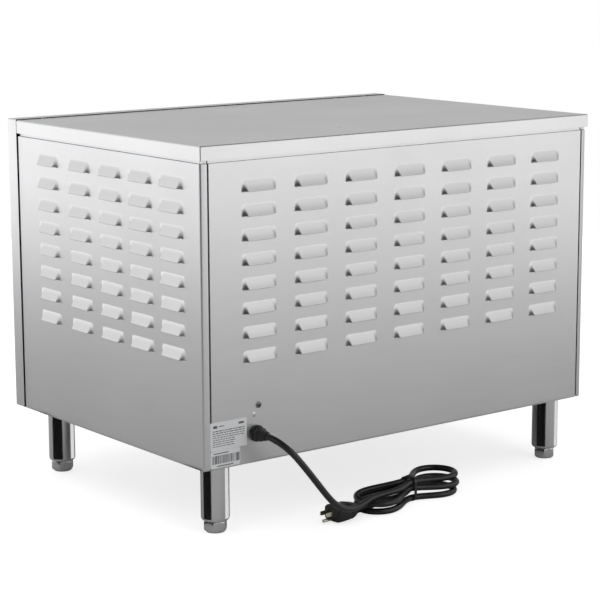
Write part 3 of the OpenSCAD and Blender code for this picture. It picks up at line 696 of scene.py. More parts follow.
def louvred(lines, heights, columns, lips, depth):
    """How far a pressed sheet stands out: each louvre is a ramp up at either end times a hood that
    leans out from nothing at its top to LOUVRE_OUT at its lip, open underneath; depth is added."""
    out = np.zeros((len(lines), len(heights)))
    on_hood = np.concatenate([[False], np.diff(heights) == 0])
    for c in columns:
        e = np.clip((LOUVRE_L / 2 - np.abs(lines - c)) / 8.0, 0, 1)
        ends = 0.55 * e + 0.45 * smoothstep(e)
        for lip in lips:
            t = np.clip(1 - (heights - lip) / LOUVRE_H, 0, 1)
            hood = np.where((heights > lip) | ((heights == lip) & on_hood), t ** 1.35, 0)
            out += LOUVRE_OUT * ends[:, None] * hood
    return out + depth


def lip_gaps(faces, lines, heights):
    """Faces without the flat ones between the two lines of points at each lip."""
    rows = len(heights)
    shut = {k for k in range(rows - 1) if heights[k] == heights[k + 1]}
    return [q for q in faces if min(k % rows for k in q) not in shut]


def rear_sheet():
    """Rear panel: louvred between the side flanges, stepped in behind them and under the rim."""
    edge, columns = SIDE_X - FLANGE - SLOT, -REAR_COLUMNS[::-1]
    wide = np.array([edge - 2, edge - 0.6, edge - 0.2, edge, edge + 0.1, edge + 0.5, PANEL_HIGH[0]])
    lines = np.concatenate([-wide[::-1], along_columns(columns), wide])
    heights = np.concatenate([[PANEL_LOW[2], PANEL_LOW[2] + 3], up_rows(LIPS), TUCK, [PANEL_HIGH[2]]])
    step = np.arange(len(lines))
    lap = np.where((step < 3) | (step >= len(lines) - 3), -LAP, 0)
    eased = np.interp(heights, TUCK, TUCK_IN)
    out = louvred(lines, heights, columns, LIPS, np.minimum(lap[:, None], eased[None]))
    x, z = np.broadcast_arrays(lines[:, None], heights[None])
    points, faces = grid(np.stack([-x, REAR_Y + out, z], -1))
    return points, lip_gaps(faces, lines, heights)


def side_sheet():
    """Right side panel: its section in plan is a line with a bend and a flange at either end, and the
    louvres stand out along the line's normal."""
    y0, y1, inner, bend_r = SIDE_LOW[1], REAR_Y, SIDE_X - FLANGE, 3.2
    plan = rounded([(inner, y0), (SIDE_X, y0), (SIDE_X, y1 - FLANGE_LEAN), (inner, y1)], bend_r, 7, 0.3)
    columns = along_columns(SIDE_COLUMNS)
    half = len(plan) // 2
    plan = np.vstack([plan[:half], np.column_stack([np.full(len(columns), SIDE_X), columns]), plan[half:]])
    heights = np.concatenate([[SIDE_LOW[2], SIDE_LOW[2] + 4], up_rows(LIPS + SIDE_LIFT), TUCK,
                              [SIDE_HIGH[2]]])
    tangent = np.gradient(plan, axis=0)
    tangent /= np.linalg.norm(tangent, axis=1)[:, None]
    normal = np.column_stack([tangent[:, 1], -tangent[:, 0]])
    eased = np.interp(heights, TUCK, TUCK_IN)
    out = louvred(plan[:, 1], heights, SIDE_COLUMNS, LIPS + SIDE_LIFT, eased[None])
    flat = plan[:, None] + normal[:, None] * out[..., None]
    z = np.broadcast_to(heights, out.shape)
    points, faces = grid(np.concatenate([flat, z[..., None]], -1))
    faces = lip_gaps(faces, plan, heights)
    notch_y, notch_w, notch_top = 274, 6, SIDE_LOW[2] + 5
    return points, [q for q in faces if points[q, 2].max() >= notch_top
                    or abs(points[q, 1].mean() - notch_y) >= notch_w / 2]


def cut(target, *cutters):
    """The target with the cutters' shapes taken out of it, its modifiers applied."""
    for cutter in cutters:
        tool = bpy.data.objects.new("cutter", make_mesh("cutter", cutter, 30))
        bpy.context.scene.collection.objects.link(tool)
        work = target.modifiers.new("cut", "BOOLEAN")
        work.object, work.solver = tool, "EXACT"
        bpy.context.view_layer.update()
        done = bpy.data.meshes.new_from_object(target.evaluated_get(bpy.context.evaluated_depsgraph_get()))
        target.modifiers.clear()
        target.data = done
        bpy.data.objects.remove(tool)
    target.data.shade_smooth()
    target.data.set_sharp_from_angle(angle=math.radians(35))
    target.modifiers.new("level_flats", "WEIGHTED_NORMAL").keep_sharp = True


def make_shell():
    """Cover, side and rear panels, and the folded members of the front frame."""
    cover = (COVER_LOW[0], COVER_HIGH[0], COVER_LOW[1], COVER_HIGH[1])
    top = piece("top_cover_sheet", "cabinet", tray(cover, COVER_HIGH[2], COVER_LOW[2]), finish["top"],
                ["top_cover"], closed=False, thick=SHEET)
    front = COVER_LOW[1]
    top_z, r, y = COVER_HIGH[2], 1.25, front + 28
    slot = slab(np.vstack([arc((-4, y), r, -90, 90, 9), arc((-30, y), r, 90, 270, 9)]), top_z - 3, top_z + 1,
                0.0)
    holes = [lathe([(1.6, -3), (1.6, 1)], (*at, top_z), count=20)
             for at in ((-36, front + 38), (64, CAB_Y + 177))]
    cut(top, slot, *holes)
    piece("rear_sheet", "cabinet", rear_sheet(), finish["panel"], ["rear_panel"],
          closed=False, thick=1.0)
    right = side_sheet()
    piece("side_sheet_right", "cabinet", right, finish["panel"], ["side_panel_right"],
          closed=False, thick=1.0)
    piece("side_sheet_left", "cabinet", mirrored(right), finish["panel"],
          ["side_panel_left"],
          closed=False, thick=1.0)
    for name in ("frame_stile_right", "frame_stile_left", "frame_header", "frame_divider"):
        low, high = span(name)
        shell = tray((low[0], high[0], low[2], high[2]), low[1], high[1], 1.6, 2.0, "xz")
        grain = finish["upright"] if "stile" in name else finish["top"]
        piece(name + "_channel", "cabinet", shell, grain, [name], closed=False,
              thick=SHEET)


make_shell()
FRONT_Y = STILE_LOW[1]
BAY_TOP = span("frame_divider")[0][2]


def middle(node):
    low, high = span(node)
    return (low + high) / 2


def numeral(text, size, x, z, y):
    """A figure as a thin raised mesh facing -Y, centred on (x, z)."""
    curve = bpy.data.curves.new("numeral", "FONT")
    curve.body, curve.size, curve.extrude, curve.resolution_u = text, size, 0.05, 3
    curve.align_x, curve.align_y = "CENTER", "CENTER"
    holder = bpy.data.objects.new("numeral", curve)
    bpy.context.scene.collection.objects.link(holder)
    mesh = bpy.data.meshes.new_from_object(holder)
    points = np.array([v.co for v in mesh.vertices])
    faces = [list(p.vertices) for p in mesh.polygons]
    bpy.data.objects.remove(holder)
    return points[:, [0, 2, 1]] * (1, -1, 1) + (x, y, z), faces


def ticks(centre, y, marks):
    """Thin radial bars round a centre: each mark is (degrees clockwise from the top, inner radius,
    outer radius, width)."""
    out = []
    for turn, r0, r1, w in marks:
        a = math.radians(turn)
        ray, flat = np.array([math.sin(a), math.cos(a)]), np.array([math.cos(a), -math.sin(a)]) * w / 2
        corners = [ray * r0 - flat, ray * r0 + flat, ray * r1 + flat, ray * r1 - flat]
        out.append(slab(np.array(corners) + (centre[0], centre[2]), y - 0.06, y + 0.06, 0.0, "xz"))
    return joined(*out)


def screw_head(at, axis, r=4.0, turn=20):
    """Pan head with a cross recess: a shallow dome over a polar grid, sunk where either arm lies."""
    rho = r * np.array([0, 0.1, 0.16, 0.24, 0.32, 0.4, 0.48, 0.54, 0.6, 0.72, 0.84, 0.94, 1.0, 1.0])[:, None]
    a = np.arange(40)[None] / 40 * TAU
    u, v = rho * np.cos(a), rho * np.sin(a)
    height = 0.6 * r * np.sqrt(1 - 0.8 * (rho / r) ** 2) + 0 * a
    arm = np.minimum(np.abs(u), np.abs(v)) < 0.15 * r
    height = np.where(arm & (rho < 0.56 * r), 0.12 * r, height)
    height[-1] = 0
    t = math.radians(turn)
    return capped(turned(u * math.cos(t) - v * math.sin(t), u * math.sin(t) + v * math.cos(t), height, axis,
                         at))


# ---------- control panel ----------

def make_panel():
    """The folded plate under the doors, drilled for its controls."""
    low, high = span("control_panel")
    plate = piece("control_plate", "cabinet", tray((low[0], high[0], low[2], high[2]), low[1], high[1],
                                                   plane="xz"),
                  finish["top"], ["control_panel"], closed=False, thick=SHEET)
    bores = [lathe([(r, -4), (r, 4)], (middle(n)[0], FRONT_Y, middle(n)[2]), "y")
             for n, r in (("thermometer_case", 26), ("pilot_lamp", 6.5), ("thermostat_knob", 5))]
    x, z = middle("switch_body")[[0, 2]]
    cut(plate, *bores, slab([(x - 11, z - 15), (x + 11, z - 15), (x + 11, z + 15), (x - 11, z + 15)],
                            FRONT_Y - 4, FRONT_Y + 4, 0.0, "xz"))


def make_knob():
    """Thermostat knob: skirt, fluted grip and a pointer rib, over a scale printed on the plate."""
    x, _, z = middle("thermostat_knob")
    at = np.array([x, FRONT_Y, z])
    plain = [(3, -21.8), (3, 2.2), (24.3, 2.2), (25, 2.9), (25, 4.6), (24.3, 5.5), (21, 6.0), (19.9, 6.6)]
    fluted = [(19.3, 8, 1.2), (18.9, 14, 1.3), (18.3, 20, 1.2), (17.5, 22.4, 0.8)]
    end = [(16, 23.6), (13, 24), (0.01, 24.3)]
    rows = [(*p, 0) for p in plain] + fluted + [(*p, 0) for p in end]
    grip = lathe(rows, at, "-y", 144, flutes=24)
    rib = slab(arc((x, z + 14), 3.6, 0, 180, 9).tolist() + arc((x, z - 14), 3.6, 180, 360, 9).tolist(),
               FRONT_Y - 26.8, FRONT_Y - 20, 1.0, "xz")
    piece("thermostat_grip", "knob", joined(grip, rib), finish["black"],
          ["thermostat_knob"], 40)
    line = slab([(x - 0.8, z + 3), (x + 0.8, z + 3), (x + 0.8, z + 17), (x - 0.8, z + 17)],
                FRONT_Y - 26.95, FRONT_Y - 26.7, 0.05, "xz")
    piece("knob_pointer_line", "knob", line, finish["mark"])
    marks = [(30 * k, 27.5, 31, 0.9) for k in range(10)] + [(30 * k + 15, 27.5, 29.5, 0.6) for k in range(9)]
    scale = [ticks(at, FRONT_Y - 0.05, marks)]
    for k in range(10):
        a = math.radians(30 * k)
        scale.append(numeral(str(k), 6.5, x + 35.5 * math.sin(a), z + 35.5 * math.cos(a), FRONT_Y - 0.05))
    piece("thermostat_scale", "cabinet", joined(*scale), finish["print"])


def make_thermometer():
    """Dial thermometer: bezel, dish, printed face, tapered needle and a domed lens."""
    x, _, z = middle("thermometer_case")
    at = np.array([x, FRONT_Y, z])
    case = lathe([(25.7, -14), (25.7, 0), (30.6, 0), (31, 0.5), (31, 2.4), (30.3, 3.6), (29, 4.2),
                  (27.8, 4.2),
                  (27.2, 3.7), (27, 3), (27, 1), (24, 1), (24, -8.4), (1.8, -8.4), (1.8, -13), (3, -14)],
                 at, "-y", 96, hollow=True)
    piece("thermometer_bezel", "cabinet", case, finish["bright"], ["thermometer_case"], 30)
    face = lathe([(1.5, -8.35), (23.9, -8.35), (23.9, -7.9), (23.6, -7.75), (1.5, -7.75)], at, "-y", 72,
                 hollow=True)
    piece("thermometer_face", "cabinet", face, finish["dial"])
    y = FRONT_Y + 7.7
    marks = [(-135 + 13.5 * k, 18.4 if k % 5 else 17, 21.5, 0.35 if k % 5 else 0.7) for k in range(21)]
    scale = [ticks(at, y, marks)]
    for k in range(5):
        a = math.radians(-135 + 67.5 * k)
        scale.append(numeral(str(50 * k), 4.4, x + 13.4 * math.sin(a), z + 13.4 * math.cos(a), y))
    piece("thermometer_scale", "cabinet", joined(*scale), finish["print"])
    hub = lathe([(0.01, -13), (1, -12.9), (1, -6.6), (3, -6.4), (3, -5.4), (2.4, -5), (0.01, -4.9)], at,
                "-y", 32)
    reach = np.array([-4.4, -3.8, 0, 12, 18.4, 19])
    half = np.array([0.9, 1.5, 1.3, 0.6, 0.25, 0.05])
    a = math.radians(225)
    ray, flat = np.array([math.cos(a), math.sin(a)]), np.array([-math.sin(a), math.cos(a)])
    edges = [reach[:, None] * ray + s * half[:, None] * flat for s in (1, -1)]
    arrow = slab(np.vstack([edges[0], edges[1][::-1]]) + (x, z), FRONT_Y + 5.5, FRONT_Y + 6.1, 0.08, "xz")
    piece("thermometer_pointer", "needle", joined(hub, arrow), finish["print"],
          ["thermometer_needle"])
    lens = lathe([(26.9, 1.05), (26.9, 2.0), (20, 2.7), (10, 3.1), (0.01, 3.2), (0.01, 2.0), (10, 1.9),
                  (20, 1.55)],
                 at, "-y", 72)
    piece("thermometer_lens", "cabinet", lens, finish["glass"], smooth=50)


def make_lamp_and_switch():
    """Pilot lamp with a ringed lens in a chromed bezel; rocker switch in its snap-in frame."""
    x, _, z = middle("pilot_lamp")
    at = (x, FRONT_Y, z)
    bezel = lathe([(6.0, -18), (6.2, 0), (8.7, 0), (9, 0.4), (9, 1.4), (8.4, 2.1), (7.0, 2.4), (6.3, 2.2),
                   (6.0, 1.2)],
                  at, "-y", 48, hollow=True)
    piece("lamp_bezel", "cabinet", bezel, finish["bright"], ["pilot_lamp"])
    a = np.radians(np.linspace(0, 90, 13))
    dome = [(5.9 * math.cos(t) - 0.16 * (k % 2), 2.4 + 4.5 * math.sin(t)) for k,
            t in enumerate(a[:-1])] + [(0.01, 6.9)]
    piece("lamp_lens", "cabinet", lathe([(5.9, -6), (5.9, 2.2)] + dome, at, "-y", 48), finish["red"])
    low, high = span("switch_body")
    outer = (low[0], high[0], low[2], high[2])
    pocket, body, y = (low[0] + 5, high[0] - 5, low[2] + 4, high[2] - 4), inset(outer, 2.2), FRONT_Y
    rows = [(inset(body, 0.6), 0.6, y + 24), (body, 1, y + 23.4), (body, 1, y), (outer, 2.6, y),
            (outer, 2.6, y - 1.1),
            (inset(outer, 0.3), 2.4, y - 1.7), (inset(outer, 0.9), 1.9, y - 2),
            (inset(pocket, -0.6), 1.4, y - 2),
            (pocket, 1, y - 1.5), (pocket, 1, y + 14)]
    piece("switch_frame", "cabinet", loft(rows, "xz", (True, True)), finish["black"],
          ["switch_body"])
    side = np.linspace(-11.3, 11.3, 13)
    key = np.vstack([np.column_stack([-6.9 - 2 * (side / 11.3) ** 2, side]),
                     [(-8.3, 11.6), (2.5, 11), (5, 5), (5, -5), (2.5, -11), (-8.3, -11.6)]])
    t = math.radians(8)
    x, _, z = middle("switch_body")
    key = np.column_stack([key[:, 0] * math.cos(t) - key[:, 1] * math.sin(t) + y + 5,
                           key[:, 0] * math.sin(t) + key[:, 1] * math.cos(t) + z])
    axle = tube([(x - 9, y + 5, z), (x + 9, y + 5, z)], 1.45, 16)
    piece("switch_key", "rocker", joined(slab(key, x - 7.5, x + 7.5, 0.7, "yz"), axle), finish["red_key"],
          ["switch_rocker"])


make_panel()
make_knob()
make_thermometer()
make_lamp_and_switch()


# ---------- doors ----------

DOOR_LOW, DOOR_HIGH = span("door_right_shell")
DOOR_BACK = span("door_right_inner")[1][1]
DOOR_RECT = (DOOR_LOW[0], DOOR_HIGH[0], DOOR_LOW[2], DOOR_HIGH[2])
GLASS_LOW, GLASS_HIGH = span("door_right_glass")
WINDOW = inset((GLASS_LOW[0], GLASS_HIGH[0], GLASS_LOW[2], GLASS_HIGH[2]), 8)
HINGE_LOW, HINGE_HIGH = span("hinge_brackets_right")
PIVOT = (HINGE_LOW[0] + 9, HINGE_LOW[1] + 5)
DOOR_MID = (DOOR_LOW[2] + DOOR_HIGH[2]) / 2
PANE = 4.0


def over(shell):
    """The shell's twin below the doors' middle height."""
    points, faces = shell
    return points * (1, 1, -1) + (0, 0, 2 * DOOR_MID), [q[::-1] for q in faces]


def door_skin():
    """Front skin: window lip, flat, bend all round and a skirt to the back."""
    front, lip = DOOR_LOW[1], []
    for a in np.radians([0, 30, 60, 90]):
        d = 0.9 * (1 - math.cos(a))
        lip.append((inset(WINDOW, -d), 6 + d, front + 0.9 * (1 - math.sin(a))))
    rows = [(WINDOW, 6, front + 1.15)] + lip + [(inset(WINDOW, -1.3), 7.3, front),
                                                (inset(DOOR_RECT, 2.9), 0.4, front)]
    rows += bent_rim(DOOR_RECT, 3, front, 1, 2.5) + [(DOOR_RECT, 3, front + 2.9),
                                                     (DOOR_RECT, 3, DOOR_HIGH[1])]
    return loft(rows, "xz")


def handle_bar():
    """Bow handle: a round bar out of the door, along and back, with a collar at either foot."""
    low, high = span("door_right_handle")
    x, z0, z1, y, bend, front = (low[0] + high[0]) / 2, low[2] + 9, high[2] - 9, low[1] + 5.5, 12, high[1]
    path = np.vstack([[(front + 0.5, z0), (front - 2, z0), (y + bend + 2, z0)],
                      arc((y + bend, z0 + bend), bend, 270, 180, 10),
                      [(y, z0 + bend + 1)], [(y, z1 - bend - 1)], arc((y + bend, z1 - bend), bend, 180, 90,
                                                                      10),
                      [(y + bend + 2, z1), (front - 2, z1), (front + 0.5, z1)]])
    bar = tube(np.column_stack([np.full(len(path), x), path]), 5.5, 28)
    collars = [lathe([(5.3, 0), (8.7, 0), (9, 0.4), (9, 2), (8.2, 3), (6.2, 3.4), (5.3, 3.4)], (x, front, z),
                     "-y", 40,
                     hollow=True) for z in (z0, z1)]
    return joined(bar, *collars)


def make_door(side, twin):
    """One door and the brackets it hangs on; twin turns a right-hand shape into this side's."""
    body, back = "door_" + side, DOOR_BACK
    bores = [twin(lathe([(3.35, h), (3.35, h + 20)], (*PIVOT, 0), count=32))
             for h in (DOOR_LOW[2] - 10, DOOR_HIGH[2] - 10)]
    skin = piece(body + "_skin", body, twin(door_skin()), finish["door"],
                 [body + "_shell"],
                 closed=False, thick=1.15)
    cut(skin, *bores)
    bush = lathe([(3.2, 0.9), (7, 0.9), (7, 14), (3.2, 14)], (*PIVOT, DOOR_LOW[2]), count=32, hollow=True)
    washer = lathe([(3.2, -0.7), (6.4, -0.7), (6.4, 0.1), (3.2, 0.1)], (*PIVOT, DOOR_LOW[2]), count=32,
                   hollow=True)
    piece(body + "_bushes", body, twin(joined(bush, washer, over(bush), over(washer))), finish["mark"])
    plate = [(DOOR_RECT, 3, back - 1.15), (DOOR_RECT, 3, back - 0.4), (inset(DOOR_RECT, 0.4), 2.6, back),
             (inset(WINDOW, -0.5), 6.5, back), (WINDOW, 6, back - 0.5), (WINDOW, 6, back - 1.15)]
    piece(body + "_back_plate", body, twin(loft(plate, "xz", loop=True)), finish["liner"],
          [body + "_inner"])
    pane = ring(inset(WINDOW, -7.6), 4)
    panes = [slab(pane, y, y + PANE, 0.4, "xz") for y in (DOOR_LOW[1] + 1.2, back - 1.2 - PANE)]
    piece(body + "_panes", body, twin(joined(*panes)), finish["glass"], [body + "_glass"])
    y0, y1 = DOOR_LOW[1] + 1.3 + PANE, back - 1.3 - PANE
    spacer = [(-7, y0), (-1, y0), (0.5, y0 + 0.4), (0.5, y1 - 0.4), (-1, y1), (-7, y1)]
    piece(body + "_spacer", body, twin(surround(WINDOW, 5, spacer)), finish["rubber"])
    y = DOOR_LOW[1] + 1.15
    bead = [(-0.6, y), (-0.6, y - 1.2), (0.1, y - 1.75), (1.4, y - 1.5), (2.8, y - 0.7), (3.4, y)]
    inner = [(-0.3, back - 1.15), (-0.3, back + 0.25), (0.6, back + 0.4), (2.4, back - 0.2),
             (3.2, back - 1.15)]
    piece(body + "_glazing_beads", body, twin(joined(surround(WINDOW, 6, bead), surround(WINDOW, 6, inner))),
          finish["rubber"])
    low, high = span("door_right_gasket")
    t = high[1] - low[1]
    section = [(0, back), (0, back + 0.5), (1.1, back + 0.7)]
    section += [(4.5 - 3.1 * math.cos(a), back + 0.8 + (t - 0.85) * math.sin(a))
                for a in np.radians([10, 35, 60, 90, 120, 145, 170])]
    section += [(7.9, back + 0.7), (9, back + 0.5), (9, back)]
    piece(body + "_seal", body, twin(surround((low[0], high[0], low[2], high[2]), 5, section)),
          finish["rubber"],
          [body + "_gasket"], smooth=50)
    piece(body + "_bow_handle", body, twin(handle_bar()), finish["bright"],
          [body + "_handle"], 40)

    x, y, z = *PIVOT, HINGE_LOW[2]
    outline = [(x + 5, FRONT_Y), (x - 9, FRONT_Y), (x - 9, y + 6)] + arc((x, y), 5, 180, 360, 13).tolist()
    arm = slab(outline, z, z + 3, 0.3)
    flange = slab([(x - 9, z - 9.5), (x + 5, z - 9.5), (x + 5, z + 3), (x - 9, z + 3)], FRONT_Y - 2.4,
                  FRONT_Y, 0.4, "xz")
    pin = lathe([(0.01, -1.4), (3.4, -1.4), (4.2, -0.7), (4.2, 0.1), (3, 0.1), (3, 14), (2.3, 15),
                 (0.01, 15)], (x, y, z), count=36)
    screw = screw_head((x - 2, FRONT_Y - 2.4, z - 5), "-y", 3.2)
    piece("hinge_arms_" + side, "cabinet",
          twin(joined(arm, flange, pin, screw, *[over(s) for s in (arm, flange, pin, screw)])),
          finish["bright"], ["hinge_brackets_" + side])


def same(shell):
    return shell


make_door("right", same)
make_door("left", mirrored)
low, high = span("door_catch")
catch = slab(ring((low[0], high[0], low[2], high[2]), 1.5), low[1] + 0.5, high[1], 0.5, "xz")
piece("magnet_block", "cabinet", catch, finish["black"], ["door_catch"])
poles = [slab([(x - 9, z), (x + 9, z), (x + 9, z + 2.2), (x - 9, z + 2.2)], low[1], low[1] + 8, 0.2, "xz")
         for x in (-18, 18) for z in (low[2] + 2.6, low[2] + 8.2)]
piece("magnet_poles", "cabinet", joined(*poles), finish["screw"])


# ---------- heated cavity ----------

def strip(outline, y0, y1, count=2):
    """An outline in X and Z drawn out along Y as an open sheet."""
    y = np.linspace(y0, y1, count)
    points = np.zeros((len(outline), count, 3))
    points[..., 0], points[..., 2], points[..., 1] = outline[:, :1], outline[:, 1:], y
    return grid(points)


def make_rails():
    """Six angle strips under the ends of the shelves."""
    low, high = span("shelf_rails")
    rails = []
    for node in ("shelf_lower", "shelf_middle", "shelf_upper"):
        z = round(span(node)[0][2] + 0.2, 1)
        angle = rounded([(high[0] - 14, z), (high[0], z), (high[0], z - 12)], 2.0, 6)
        rail = strip(angle, low[1], high[1])
        rails += [rail, mirrored(rail)]
    piece("shelf_angles", "cabinet", joined(*rails), finish["liner"], ["shelf_rails"],
          closed=False, thick=1.2)


def make_shelf(node):
    """Wire shelf: a closed rim with rounded corners and nineteen cross wires welded into it."""
    low, high = span(node)
    r, z = 3.0, low[2] + 3.2
    rect = (low[0] + 3.2, high[0] - 3.2, low[1] + 3.2, high[1] - 3.2)
    corner = ring(rect, 8, 7, 4)
    rim = tube(np.column_stack([corner, np.full(len(corner), z)]), r, 14, loop=True)
    wires = [tube([(x, rect[2], z + 0.6), (x, 0.5 * (rect[2] + rect[3]), z + 0.6), (x, rect[3], z + 0.6)],
                  1.75, 10)
             for x in 32.0 * np.arange(-9, 10)]
    piece(node + "_wires", "cabinet", joined(rim, *wires), finish["wire"], [node], 50)


def make_pan():
    """Water pan: drawn corners, sloping walls and a flange turned down at its edge."""
    low, high = span("water_pan")
    rect, z = inset((low[0], high[0], low[1], high[1]), 8), high[2]
    floor = inset(rect, 5)
    rows = [(inset(floor, 14), 4, low[2] + 0.9)]
    for a in np.radians([0, 25, 50, 75, 90]):
        d = 8 * (1 - math.sin(a))
        rows.append((inset(floor, d), 16 - d, low[2] + 0.9 + 8 * (1 - math.cos(a))))
    for a in np.radians([0, 30, 60, 90]):
        d = 3 * (1 - math.sin(a)) - 3
        rows.append((inset(rect, -3 * (1 - math.cos(a))), 19 + 3 * (1 - math.cos(a)),
                     z - 3 + 3 * math.sin(a)))
    rows += [(inset(rect, -6.4), 25, z), (inset(rect, -7.5), 26.4, z - 0.5), (inset(rect, -8), 27, z - 1.6),
             (inset(rect, -8), 27, z - 4)]
    piece("drawn_water_pan", "cabinet", loft(rows, shut=(True, False)), finish["liner"],
          ["water_pan"],
          closed=False, thick=0.8)


def make_element():
    """Tubular element: two runs across the floor, joined at the left, both ends down through the floor."""
    low, high = span("heating_element")
    r, bend = 4.0, 22.0
    x0, x1, y0, y1, z = low[0] + r, high[0] - r, low[1] + r, high[1] - r, high[2] - r
    drop = [(x1 - bend + bend * math.sin(a), z - bend + bend * math.cos(a))
            for a in np.radians(np.linspace(0, 90, 10))]
    run = [(x, y0, h) for x, h in [(x1, low[2])] + drop[::-1]]
    far = [(*p, z) for p in arc((x0 + bend, y0 + bend), bend, 270, 180, 10)]
    back = [(*p, z) for p in arc((x0 + bend, y1 - bend), bend, 180, 90, 10)]
    path = run + far + back + [(x, y1, h) for x, h in drop + [(x1, low[2])]]
    ends = [joined(lathe([(5.5, 0), (6, 0.5), (6, 9), (5, 10), (3, 10.2), (3, 0)], (x1, y, low[2]), count=24,
                         hollow=True),
                   lathe([(0.01, -14), (1.6, -13.6), (1.6, 1), (0.01, 1)], (x1, y, low[2]), count=16))
            for y in (y0, y1)]
    piece("element_tube", "cabinet", joined(tube(path, r, 18), *ends), finish["sheath"],
          ["heating_element"], 50)
    low, high = span("element_brackets")
    saddle = rounded([(low[1], low[2] + 1.2), (low[1] + 14, low[2] + 1.2), (low[1] + 20, high[2]),
                      (high[1] - 20, high[2]),
                      (high[1] - 14, low[2] + 1.2), (high[1], low[2] + 1.2)], 2.5, 6)
    saddles = []
    for x in (-180.0, 0.0, 180.0):
        points = np.zeros((2, len(saddle), 3))
        points[0, :, 0], points[1, :, 0], points[..., 1:] = x - 6, x + 6, saddle
        saddles.append(grid(points))
    piece("element_saddles", "cabinet", joined(*saddles), finish["liner"],
          ["element_brackets"],
          closed=False, thick=1.2)


def wool_slab(low, high, seed):
    """A slab of wool: its section's outline is a box with soft corners, pushed in by up to 2.5 mm by a
    sum of sine waves of random direction and phase, and drawn in at both ends."""
    rng = np.random.default_rng(seed)
    size, mid = high - low, (low + high) / 2
    thin = int(np.argmin(size))
    wide, long = [k for k in range(3) if k != thin]
    s = np.linspace(-1, 1, 36)
    across = np.concatenate([s, np.ones(5), s[::-1], -np.ones(5)])
    up = np.concatenate([-np.ones(36), np.linspace(-0.6, 0.6, 5), np.ones(36), np.linspace(0.6, -0.6, 5)])
    run = np.concatenate([[-1], np.linspace(-0.995, 0.995, 44), [1]])
    end = np.where(np.abs(run) == 1, 0.9, 1)[:, None]
    points = np.zeros((len(run), len(across), 3))
    points[..., thin] = up * size[thin] / 2 * end
    points[..., wide] = across * (size[wide] / 2) * (1 - 0.06 * (1 - end))
    points[..., long] = run[:, None] * size[long] / 2
    wave = sum(np.sin(points @ (rng.normal(0, 0.05, 3)) + rng.uniform(0, TAU)) for _ in range(14)) / 14
    points[..., thin] -= np.sign(up) * (1.2 + 3.2 * wave)
    points[..., wide] -= (np.abs(across) > 0.99) * np.sign(across) * (1 + 2.5 * wave)
    return capped(points + mid)


def make_wool():
    low, high = span("insulation")
    cavity_low, cavity_high = span("liner_floor")[0], span("liner_top")[1]
    x, back, top, bottom = cavity_high[0] + 1, span("liner_back")[1][1], cavity_high[2], span("liner_floor")[0][2]
    slabs = [((-x, low[1], top), (x, back, high[2])), ((-x, low[1], low[2]), (x, back, bottom)),
             ((x, low[1], bottom), (high[0], back, top)), ((low[0], low[1], bottom), (-x, back, top)),
             ((-x, back, bottom), (x, high[1], top))]
    shells = [wool_slab(np.array(a, float), np.array(b, float), k + 3) for k, (a, b) in enumerate(slabs)]
    piece("wool_slabs", "cabinet", joined(*shells), finish["wool"], ["insulation"], 60)


def make_leads():
    """Leads in the bay: gland to terminals, terminals to the controls and the element."""
    x, _, z = middle("cord_gland")
    low, high = span("terminal_block")
    back, top, deck = REAR_Y, low[2] + 14, low[1] - 2.5
    knob, key, coil = middle("thermostat"), middle("switch_body"), span("heating_element")
    jacket = tube(spline([(x, back - 22, z), (x, back - 34, z - 3), (x - 3, back - 44, z - 10),
                          (x - 7, back - 53, z - 12)], 3), 3.5, 12)
    leads = [[(260, deck, top), (256, deck - 40, top), (240, 60, top - 4), (220, -80, top - 4),
              (205, FRONT_Y + 70, top),
              (200, FRONT_Y + 37, knob[2])],
             [(244, deck, top), (236, deck - 50, top - 4), (150, 30, top - 6), (70, -110, top - 4),
              (45, FRONT_Y + 60, top + 6),
              (40, FRONT_Y + 27, key[2])],
             [(250, deck, top + 3), (264, deck - 22, 150), (270, coil[1][1] - 4, coil[0][2] - 6)]]
    shells = [tube(spline(p, 4), 2.1, 10) for p in leads]
    piece("bay_leads", "cabinet", joined(jacket, *shells), finish["sleeve"], ["wiring"], 60)


make_rails()
for node in ("shelf_lower", "shelf_middle", "shelf_upper"):
    make_shelf(node)
make_pan()
make_element()
make_wool()
make_leads()


# ---------- legs, feet and fasteners ----------

def make_leg(place):
    """A tube leg with a rounded lower corner, and the foot that screws into it."""
    low, high = span("leg_" + place)
    at, r, bend = ((low[0] + high[0]) / 2, (low[1] + high[1]) / 2, 0), (high[0] - low[0]) / 2, 5
    rows = [(8.2, 47), (8.2, low[2]), (r - bend - 0.4, low[2])]
    rows += [(r - bend + bend * math.sin(a), low[2] + bend - bend * math.cos(a))
             for a in np.radians(np.linspace(0, 90, 8))]
    rows += [(r, low[2] + bend + 1), (r, high[2] - 0.5), (r, high[2]), (0.01, high[2])]
    piece("tube_leg_" + place, "cabinet", lathe([(0.01, 47)] + rows, at, count=96), finish["bright"],
          ["leg_" + place])
    hexa = hexagon(30.4, [(14.4, 2), (15.2, 2.0), (16.3, 2.9), (17.8, 4), (17.8, 14.6), (16.4, 15.9),
                          (15.3, 16.7), (14, 16.7)],
                   at, turn=15)
    pad = lathe([(13.2, 0), (14, 0.7), (14, 2.1)], at, count=48)
    z, a = np.linspace(16.5, 50, 100)[:, None], np.arange(32)[None] / 32 * TAU
    thread = 7.7 - 0.5 * (0.5 + 0.5 * np.cos(TAU * z / 2.0 - a))
    stem = capped(turned(thread * np.cos(a), thread * np.sin(a), z, "z", at))
    piece("hex_foot_" + place, "foot_" + place, joined(hexa, pad, stem), finish["bright"],
          ["foot_" + place], 30)


